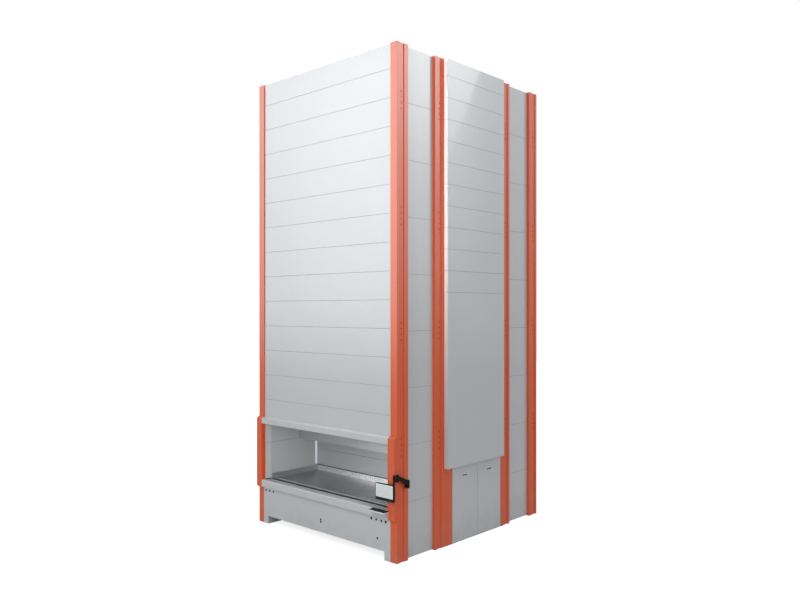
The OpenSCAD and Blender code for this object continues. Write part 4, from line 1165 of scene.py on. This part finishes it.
# %% Ribs, fan cover and terminal box of the lift motor
RIB_COUNT = 28
RIB_HALF = 0.0015
RIB_ROOT = 0.003
RIB_RISE = 0.008
RIB_ENDS = (0.03, 0.062)
BODY_DROP = 0.006
COVER_LENGTH = 0.046
BOX = {"root": 0.012, "rise": 0.035, "half": 0.045, "run": (0.04, 0.15)}
motor_low, motor_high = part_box("lift_gear_motor")
motor_x = (motor_low.x + motor_high.x) / 2
shaft_low, shaft_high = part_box("drive_shaft")
motor_z = (shaft_low.z + shaft_high.z) / 2
shaft_y = (shaft_low.y + shaft_high.y) / 2
motor_r = motor_high.z - motor_z - BODY_DROP
gear_end = 2 * shaft_y - motor_low.y
rib_y = (gear_end + RIB_ENDS[0], motor_high.y - RIB_ENDS[1])
turn = math.tau / RIB_COUNT
motor_axis = (motor_x, 0, motor_z)
bm = bmesh.new()
moulded_block(
    bm, (motor_x - RIB_HALF, rib_y[0], motor_z + motor_r - RIB_ROOT),
    (motor_x + RIB_HALF, rib_y[1], motor_z + motor_r + RIB_RISE), 0.001, 1,
)
bmesh.ops.rotate(bm, verts=bm.verts, cent=motor_axis, matrix=Matrix.Rotation(turn / 2, 3, "Y"))
bmesh.ops.spin(
    bm, geom=bm.verts[:] + bm.edges[:] + bm.faces[:], cent=motor_axis, axis=(0, 1, 0),
    angle=math.tau - turn, steps=RIB_COUNT - 1, use_duplicate=True,
)
cover_r = motor_r - 0.004
rim_r = cover_r + 0.002
turned(bm, (
    (0.0, 0.002), (cover_r * 0.25, 0.002), (cover_r * 0.28, 0.0005), (cover_r * 0.4, 0.0005),
    (cover_r * 0.43, 0.002), (cover_r * 0.6, 0.002), (cover_r * 0.63, 0.0005), (cover_r * 0.75, 0.0005),
    (cover_r * 0.78, 0.002), (cover_r * 0.95, 0.002), (rim_r, -0.004), (rim_r, -COVER_LENGTH),
    (cover_r, -COVER_LENGTH),
), (motor_x, motor_high.y, motor_z), (0, 1, 0), steps=40)
moulded_block(
    bm, (motor_x + motor_r - BOX["root"], rib_y[0] + BOX["run"][0], motor_z - BOX["half"]),
    (motor_x + motor_r + BOX["rise"], rib_y[0] + BOX["run"][1], motor_z + BOX["half"]), 0.005, 3,
)
fitting(bm, "lift_motor_ribs", "cabinet", "motor_paint")

# %% [markdown]
# The studio is plain. Its sky gives a soft, slightly cool light, and to the camera it is white, so the
# machine stands on a white page.

# %% Sky
def build_sky(light, seen):
    world = bpy.data.worlds.new("studio_sky")
    world.use_nodes = True
    tree = world.node_tree
    tree.nodes.clear()
    lighting = place(tree, "ShaderNodeBackground", {"Color": (0.96, 0.98, 1, 1), "Strength": light})
    backdrop = place(tree, "ShaderNodeBackground", {"Color": (1, 1, 1, 1), "Strength": seen})
    looking = place(tree, "ShaderNodeLightPath").outputs["Is Camera Ray"]
    shown = {0: looking, 1: lighting.outputs[0], 2: backdrop.outputs[0]}
    mixed = place(tree, "ShaderNodeMixShader", shown)
    place(tree, "ShaderNodeOutputWorld", {"Surface": mixed.outputs[0]})
    bpy.context.scene.world = world


build_sky(0.65, 1.0)
print("sky", bpy.context.scene.world.name)

# %% [markdown]
# The floor is pale and matt. To the camera it also glows a little, so that it runs into the white sky
# without a horizon. Under the machine it doesn't, because that would show through open doors.

# %% Floor
FLOOR_GLOW = 0.8
MACHINE_EDGE = {"X": (1.1, 1.3), "Y": (1.15, 1.25)}


def build_floor(half):
    bm = bmesh.new()
    bmesh.ops.create_grid(bm, x_segments=1, y_segments=1, size=half)
    mesh = bpy.data.meshes.new("studio_floor")
    bm.to_mesh(mesh)
    bm.free()
    material, tree, shader = start_material("pale_floor")
    spot = place(tree, "ShaderNodeTexCoord").outputs["Object"]
    tint = blend(tree, noise(tree, spot, 0.6, 3.0), (0.58, 0.58, 0.58, 1), (0.62, 0.62, 0.62, 1))
    tree.links.new(tint, shader.inputs["Base Color"])
    shader.inputs["Roughness"].default_value = 0.9
    shader.inputs["Emission Color"].default_value = (1, 1, 1, 1)
    across = place(tree, "ShaderNodeSeparateXYZ", {"Vector": spot}).outputs
    outside = []
    for axis, edge in MACHINE_EDGE.items():
        away = place(tree, "ShaderNodeMath", {0: across[axis]}, operation="ABSOLUTE").outputs[0]
        outside.append(spread(tree, away, *edge))
    clear = place(tree, "ShaderNodeMath", {0: outside[0], 1: outside[1]}, operation="MAXIMUM").outputs[0]
    looking = place(tree, "ShaderNodeLightPath").outputs["Is Camera Ray"]
    seen = times(tree, times(tree, looking, clear), FLOOR_GLOW)
    tree.links.new(seen, shader.inputs["Emission Strength"])
    mesh.materials.append(material)
    floor = bpy.data.objects.new("studio_floor", mesh)
    bpy.context.scene.collection.objects.link(floor)
    floor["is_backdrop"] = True
    return floor


print("floor", build_floor(30.0).name)

# %% [markdown]
# The lights are panels that hang at a spot and look at a target. A panel's brightness can drift up and
# across its face. Glossy paint shows what stands around it, so broad cards that are only seen mirrored
# give the panels their slow change from bright to dark, and a tilted one makes the bright wedge at the
# top of the centre cover.

# %% Cards that the paint mirrors
EVEN = (0.0, 0.01)


def aim(data, spot, target, roll=0.0):
    """Hangs a light at a spot, turned towards a target."""
    lamp = bpy.data.objects.new(data.name, data)
    facing = (Vector(target) - Vector(spot)).to_track_quat("-Z", "Y").to_matrix()
    lamp.matrix_world = Matrix.Translation(spot) @ (facing @ Matrix.Rotation(roll, 3, "Z")).to_4x4()
    bpy.context.scene.collection.objects.link(lamp)
    return lamp


def panel_light(name, width, height, power):
    data = bpy.data.lights.new(name, "AREA")
    data.shape = "RECTANGLE"
    data.size, data.size_y = width, height
    data.energy = power
    return data


def grade(data, rising, fading=EVEN, soft=0.01):
    """Lets a light's brightness drift up and across its face, with a soft foot."""
    data.use_nodes = True
    tree = data.node_tree
    across = place(tree, "ShaderNodeSeparateXYZ", {
        "Vector": place(tree, "ShaderNodeNewGeometry").outputs["Parametric"],
    }).outputs
    up = times(tree, spread(tree, across["Y"], 0.0, soft), spread(tree, across["Y"], *rising))
    along = spread(tree, across["X"], *fading)
    tree.links.new(times(tree, up, along), tree.nodes["Emission"].inputs["Strength"])


def hang_card(name, spot, target, side, glow, rising, fading=EVEN, soft=0.01, roll=0.0):
    """A broad square that is only seen mirrored in the paint."""
    data = panel_light(name, side, side, glow * math.pi * side * side)
    grade(data, rising, fading, soft)
    card = aim(data, spot, target, roll)
    card.visible_diffuse = False
    card.visible_camera = False


hang_card(
    "front_card", (-7.6, -8.0, 5.7), (-7.6, 0, 5.7), 9.0, 4.3,
    rising=(0.2, 0.9, 0.5, 1.0), fading=(0.2, 0.8, 0.76, 1.25), soft=0.22,
)
hang_card(
    "side_card", (7.5, 8.0, 6.6), (0, 8.0, 6.6), 9.0, 4.8,
    rising=(0.0, 0.63, 0.0, 0.7), fading=(0.25, 0.57, 1.0, 0.13),
)
hang_card(
    "window_card", (7.45, 4.76, 9.39), (0, 4.76, 9.39), 6.0, 3.0,
    rising=(0.15, 0.71), roll=math.radians(-27.9),
)
print("cards", [light.name for light in bpy.data.lights])

# %% [markdown]
# Two soft lamps hang high in front of the machine, so the light falls off towards the floor as it does in
# the photograph. A small one lights the opening from its right side, and a narrow one with hardly any
# spread brightens the front edge of the centre cover. These two are close, so neither the camera nor the
# paint sees them.

# %% Lamps
EDGE_LENGTH = 4.4
EDGE_Z = 4.4


def hidden_lamp(data, spot, target, spread_angle):
    """A lamp close to the machine that isn't seen itself."""
    data.spread = math.radians(spread_angle)
    lamp = aim(data, spot, target)
    lamp.visible_camera = False
    lamp.visible_glossy = False


aim(panel_light("front_lamp", 2.2, 2.2, 105), (2.3, -8.0, 5.0), (0.4, -1.5, 3.2))
aim(panel_light("top_lamp", 1.2, 1.2, 60), (3.0, -7.5, 8.2), (1.2, -1.0, 5.8))
hidden_lamp(panel_light("opening_lamp", 0.4, 0.4, 3.3), (1.05, -1.2, 0.92), (-1.19, -1.0, 0.92), 110)
cover_low, cover_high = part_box("right_cover_panels")
edge_x = (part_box("front_posts")[1].x + cover_high.x) / 2
edge_light = panel_light("edge_lamp", 0.05, EDGE_LENGTH, 0.34)
grade(edge_light, rising=(0.0, 0.55))
hidden_lamp(edge_light, (edge_x, cover_low.y - 0.25, EDGE_Z), (edge_x, 0, EDGE_Z), 1)
bpy.context.scene.view_settings.view_transform = "Standard"
print("lamps", [light.name for light in bpy.data.lights])

# %% [markdown]
# The last step measures the box of the finished machine and prints it, so that one can see whether
# dressing a part made it larger.

# %% Measure and finish
low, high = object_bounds()
print("visual box", [round(side, 4) for side in high - low])
